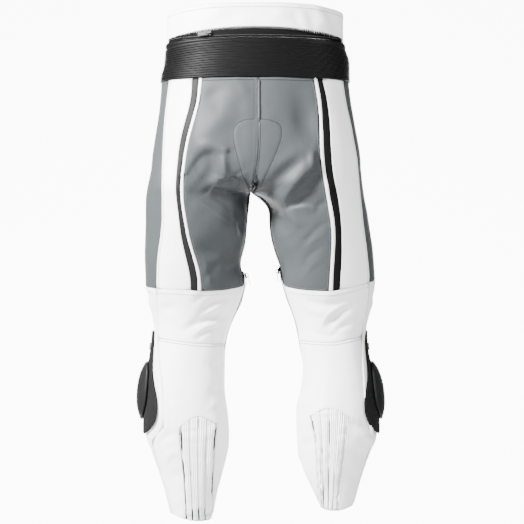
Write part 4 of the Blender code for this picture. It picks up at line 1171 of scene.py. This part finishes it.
def smooth_solid(node, look, rounding):
    """A hard piece on its solid's form with rounded edges."""
    bm = bmesh.new()
    bm.from_mesh(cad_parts[node].data)
    bmesh.ops.remove_doubles(bm, verts=bm.verts[:], dist=0.01 * MM)
    bmesh.ops.join_triangles(bm, faces=bm.faces[:], angle_face_threshold=math.radians(30),
                             angle_shape_threshold=math.pi)
    sharp = [e for e in bm.edges if e.calc_face_angle(0) > math.radians(40)]
    bmesh.ops.bevel(bm, geom=sharp, offset=rounding, segments=2, profile=0.5,
                    affect="EDGES", material=-1)
    mesh = bpy.data.meshes.new(f"{node}_piece")
    bm.to_mesh(mesh)
    bm.free()
    obj = add_object(f"{node}_piece", mesh, finish(look))
    subdivide(obj, 1)
    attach(obj, BODY)
    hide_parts(node)


def make_zips():
    """Tapes and teeth; the sliders, pulls and stud keep their solids."""
    make_connection_zip()
    for node in ("fly_zip", "leg_zip_L", "leg_zip_R"):
        panel(node, "tape", 2, stitched=False, ripple=0.0)
    for node in ("fly_zip", "leg_zip_L", "leg_zip_R"):
        make_closed_teeth(node)
    hard = ["waist_stud"]
    for name in ("connection_zip", "fly_zip", "leg_zip_L", "leg_zip_R"):
        hard += [f"{name}_slider", f"{name}_pull"]
    for node in hard:
        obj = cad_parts[node]
        obj.data.materials.clear()
        obj.data.materials.append(finish("metal"))


TOOTH_REACH = 5.0        # mm, of the open zip's teeth over its tape
TOOTH_PITCH = 3.8 * MM
CLOSED_PITCH = 2.2 * MM
TAPE_CUT = 16 * MM       # width of the open zip's tape
TAB_CUT = 40 * MM        # width of the waist tab


def tooth_template(across, high, thick):
    """A moulded tooth: a block that narrows to its tip, which is at +Z."""
    bm = bmesh.new()
    bmesh.ops.create_cube(bm, size=1.0)
    bmesh.ops.scale(bm, verts=bm.verts[:], vec=(across, thick, high))
    for vert in bm.verts:
        if vert.co.z > 0:
            vert.co.x *= 0.55
            vert.co.y *= 0.8
    bmesh.ops.bevel(bm, geom=bm.edges[:], offset=0.12 * across, segments=1, profile=0.5,
                    affect="EDGES", material=-1)
    mesh = bpy.data.meshes.new("tooth")
    bm.to_mesh(mesh)
    bm.free()
    return mesh


def lower_tape(mesh, points):
    """Takes the tape's top down to leave room for the teeth."""
    top, _ = tape_edges()
    down = distance_to(points, top)
    points[:, 2] -= TOOTH_REACH * MM * steady(1 - down / 12)
    return np.zeros(len(points))


def tape_edges():
    """Top and foot border of the open zip's tape."""
    chains = sorted(border(outer_layer("connection_zip")), key=chain_length)[-2:]
    return sorted(chains, key=lambda c: -sum(p.z for p in c) / len(c))


def make_connection_zip():
    """The jacket's zip half: its tape, a sewn line and an open row of teeth."""
    panel("connection_zip", "tape", 2, stitched=False, ripple=0.0, extra=lower_tape,
          cut=TAPE_CUT)
    top, foot = tape_edges()
    up = Vector((0, 0, 1))
    matrices = []
    for place, step in along(top, TOOTH_PITCH):
        root = place - up * (TOOTH_REACH / 2 * MM) - from_axis(place) * (0.7 * MM)
        matrices.append(set_at(root, step, up))
    tooth = tooth_template(2.4 * MM, (TOOTH_REACH + 1.5) * MM, 2.4 * MM)
    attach(scattered("connection_teeth", tooth, matrices, finish("teeth")), BODY)
    matrices = []
    for place, step in along(foot, 3.4 * MM):
        out = from_axis(place)
        matrices.append(set_at(place + up * (3.6 * MM) + out * (0.1 * MM), step, out))
    stitch = stitch_template(2.6 * MM, 0.8 * MM)
    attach(scattered("zip_stitches", stitch, matrices, finish("tape thread")), BODY)


def make_closed_teeth(node):
    """Two meshed rows of teeth down the middle of a closed zip."""
    chains = sorted(border(outer_layer(node)), key=chain_length, reverse=True)[:2]
    lines = [along(c if c[0].z > c[-1].z else c[::-1], CLOSED_PITCH)
             for c in chains]
    matrices = []
    for i, ((a, step), (b, _)) in enumerate(zip(*lines)):
        middle = (a + b) / 2
        across = (b - a).normalized()
        out = step.cross(across)
        if out.dot(from_axis(middle)) < 0:
            out.negate()
        sign = 1 if i % 2 else -1
        place = middle + across * (0.5 * MM * sign) + out * (0.5 * MM)
        matrices.append(set_at(place, step, across * sign))
    piece = scattered(f"{node}_teeth", tooth_template(1.5 * MM, 4.2 * MM, 1.6 * MM),
                      matrices, finish("teeth"))
    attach(piece, BODY)


# ---------------------------------------------------------------- stage
CAMERA_AT = (-0.0117, 3.0, -0.4329)
FRAME_WIDTH = 1.0218     # of the photograph, at the garment's middle plane
BACKDROP_GLOW = 9.0
# The paper's profile, from under the camera to high behind the garment.
PaperPoint = namedtuple("PaperPoint", "y z")
PAPER = [PaperPoint(3.6, -1.9), PaperPoint(-3.4, -1.9), PaperPoint(-4.2, -1.78),
         PaperPoint(-4.75, -1.4), PaperPoint(-5.0, -0.8), PaperPoint(-5.0, 1.6)]
PAPER_HALF_WIDTH = 2.3
ROOM_GLOW = 0.45
# Soft boxes: place and size in metres, power in watts.
Lamp = namedtuple("Lamp", "name place size power")
LAMPS = [Lamp("key", (1.7, 1.2, 0.95), 0.6, 690),
         Lamp("right fill", (-1.9, 1.3, 0.3), 1.2, 70),
         Lamp("low fill", (0.9, 2.8, -0.9), 1.0, 45),
         Lamp("front", (0.4, -2.2, 0.8), 1.2, 120)]
AIM = Vector((0, 0, -0.45))


def make_stage():
    """Camera, paper sweep, room light and lamps."""
    scene = bpy.context.scene
    camera = bpy.data.cameras.new("camera")
    camera.sensor_fit = "HORIZONTAL"
    camera.angle = 2 * math.atan(FRAME_WIDTH / 2 / CAMERA_AT[1])
    holder = bpy.data.objects.new("camera", camera)
    holder.location = CAMERA_AT
    holder.rotation_euler = (math.pi / 2, 0, math.pi)
    scene.collection.objects.link(holder)
    scene.camera = holder

    bm = bmesh.new()
    line = [bm.verts.new((-PAPER_HALF_WIDTH, p.y, p.z)) for p in PAPER]
    edges = [bm.edges.new(pair) for pair in zip(line, line[1:])]
    made = bmesh.ops.extrude_edge_only(bm, edges=edges)["geom"]
    bmesh.ops.translate(bm, vec=(2 * PAPER_HALF_WIDTH, 0, 0),
                        verts=[v for v in made if isinstance(v, bmesh.types.BMVert)])
    bm.normal_update()
    if sum(f.normal.z for f in bm.faces) < 0:
        bmesh.ops.reverse_faces(bm, faces=bm.faces[:])
    mesh = bpy.data.meshes.new("paper")
    bm.to_mesh(mesh)
    bm.free()
    paper = add_object("paper", mesh, finish("paper"))
    smooth = paper.modifiers.new("Sweep", "SUBSURF")
    smooth.levels = smooth.render_levels = 3

    world = bpy.data.worlds.new("studio")
    world.use_nodes = True
    world.node_tree.nodes["Background"].inputs["Color"].default_value = (1, 1, 1, 1)
    world.node_tree.nodes["Background"].inputs["Strength"].default_value = ROOM_GLOW
    scene.world = world
    for lamp in LAMPS:
        soft_box(lamp)


def soft_box(lamp):
    """A large soft box that faces the garment."""
    light = bpy.data.lights.new(lamp.name, "AREA")
    light.shape = "SQUARE"
    light.size = lamp.size
    light.energy = lamp.power
    holder = bpy.data.objects.new(lamp.name, light)
    holder.location = lamp.place
    ray = AIM - Vector(lamp.place)
    holder.rotation_euler = ray.to_track_quat("-Z", "Y").to_euler()
    bpy.context.scene.collection.objects.link(holder)


# ---------------------------------------------------------------- operators
class TROUSERS_OT_stage(bpy.types.Operator):
    """Set up the camera, the pale floor and the soft lights"""

    bl_idname = "trousers.stage"
    bl_label = "Stage"

    def execute(self, context):
        make_stage()
        return {"FINISHED"}


class TROUSERS_OT_waist(bpy.types.Operator):
    """Make the yoke, waistband and ribbed stretch panel"""

    bl_idname = "trousers.waist"
    bl_label = "Waist"

    def execute(self, context):
        make_waist()
        return {"FINISHED"}


class TROUSERS_OT_seat(bpy.types.Operator):
    """Make the seat, thighs, stripes and inner stretch panels"""

    bl_idname = "trousers.seat"
    bl_label = "Seat and Thighs"

    def execute(self, context):
        make_seat_and_thighs()
        return {"FINISHED"}


class TROUSERS_OT_lower_legs(bpy.types.Operator):
    """Make the knees, shins, calves and pleated inserts"""

    bl_idname = "trousers.lower_legs"
    bl_label = "Lower Legs"

    def execute(self, context):
        make_lower_legs()
        return {"FINISHED"}


class TROUSERS_OT_knee_sliders(bpy.types.Operator):
    """Make the loop bases, the knee sliders and their tabs"""

    bl_idname = "trousers.knee_sliders"
    bl_label = "Knee Sliders"

    def execute(self, context):
        make_knee_sliders()
        return {"FINISHED"}


class TROUSERS_OT_zips(bpy.types.Operator):
    """Make the zip tapes, teeth, sliders and pulls"""

    bl_idname = "trousers.zips"
    bl_label = "Zips"

    def execute(self, context):
        make_zips()
        return {"FINISHED"}


class TROUSERS_OT_stitches(bpy.types.Operator):
    """Sew stitches along the panels that were made"""

    bl_idname = "trousers.stitches"
    bl_label = "Stitches"

    def execute(self, context):
        sew_all()
        return {"FINISHED"}


class TROUSERS_PT_panel(bpy.types.Panel):
    """Colours, sizes and pieces of the trousers"""

    bl_label = "Leather Trousers"
    bl_idname = "TROUSERS_PT_panel"
    bl_space_type = "VIEW_3D"
    bl_region_type = "UI"
    bl_category = "Trousers"

    def draw(self, context):
        layout = self.layout
        for group in (context.scene.trousers_look, context.scene.trousers_sizes):
            box = layout.box()
            for name in group.__annotations__:
                box.prop(group, name)
        for operator in OPERATORS:
            layout.operator(operator.bl_idname)


OPERATORS = (TROUSERS_OT_stage, TROUSERS_OT_waist, TROUSERS_OT_seat,
             TROUSERS_OT_lower_legs, TROUSERS_OT_knee_sliders, TROUSERS_OT_zips,
             TROUSERS_OT_stitches)
CLASSES = (TrousersLook, TrousersSizes, *OPERATORS, TROUSERS_PT_panel)


def register():
    for cls in CLASSES:
        bpy.utils.register_class(cls)
    bpy.types.Scene.trousers_look = bpy.props.PointerProperty(type=TrousersLook)
    bpy.types.Scene.trousers_sizes = bpy.props.PointerProperty(type=TrousersSizes)


def unregister():
    del bpy.types.Scene.trousers_sizes
    del bpy.types.Scene.trousers_look
    for cls in reversed(CLASSES):
        bpy.utils.unregister_class(cls)


def main():
    register()
    bpy.ops.trousers.stage()
    bpy.ops.trousers.waist()
    bpy.ops.trousers.seat()
    bpy.ops.trousers.lower_legs()
    bpy.ops.trousers.knee_sliders()
    bpy.ops.trousers.zips()
    bpy.ops.trousers.stitches()


if __name__ == "__main__":
    main()
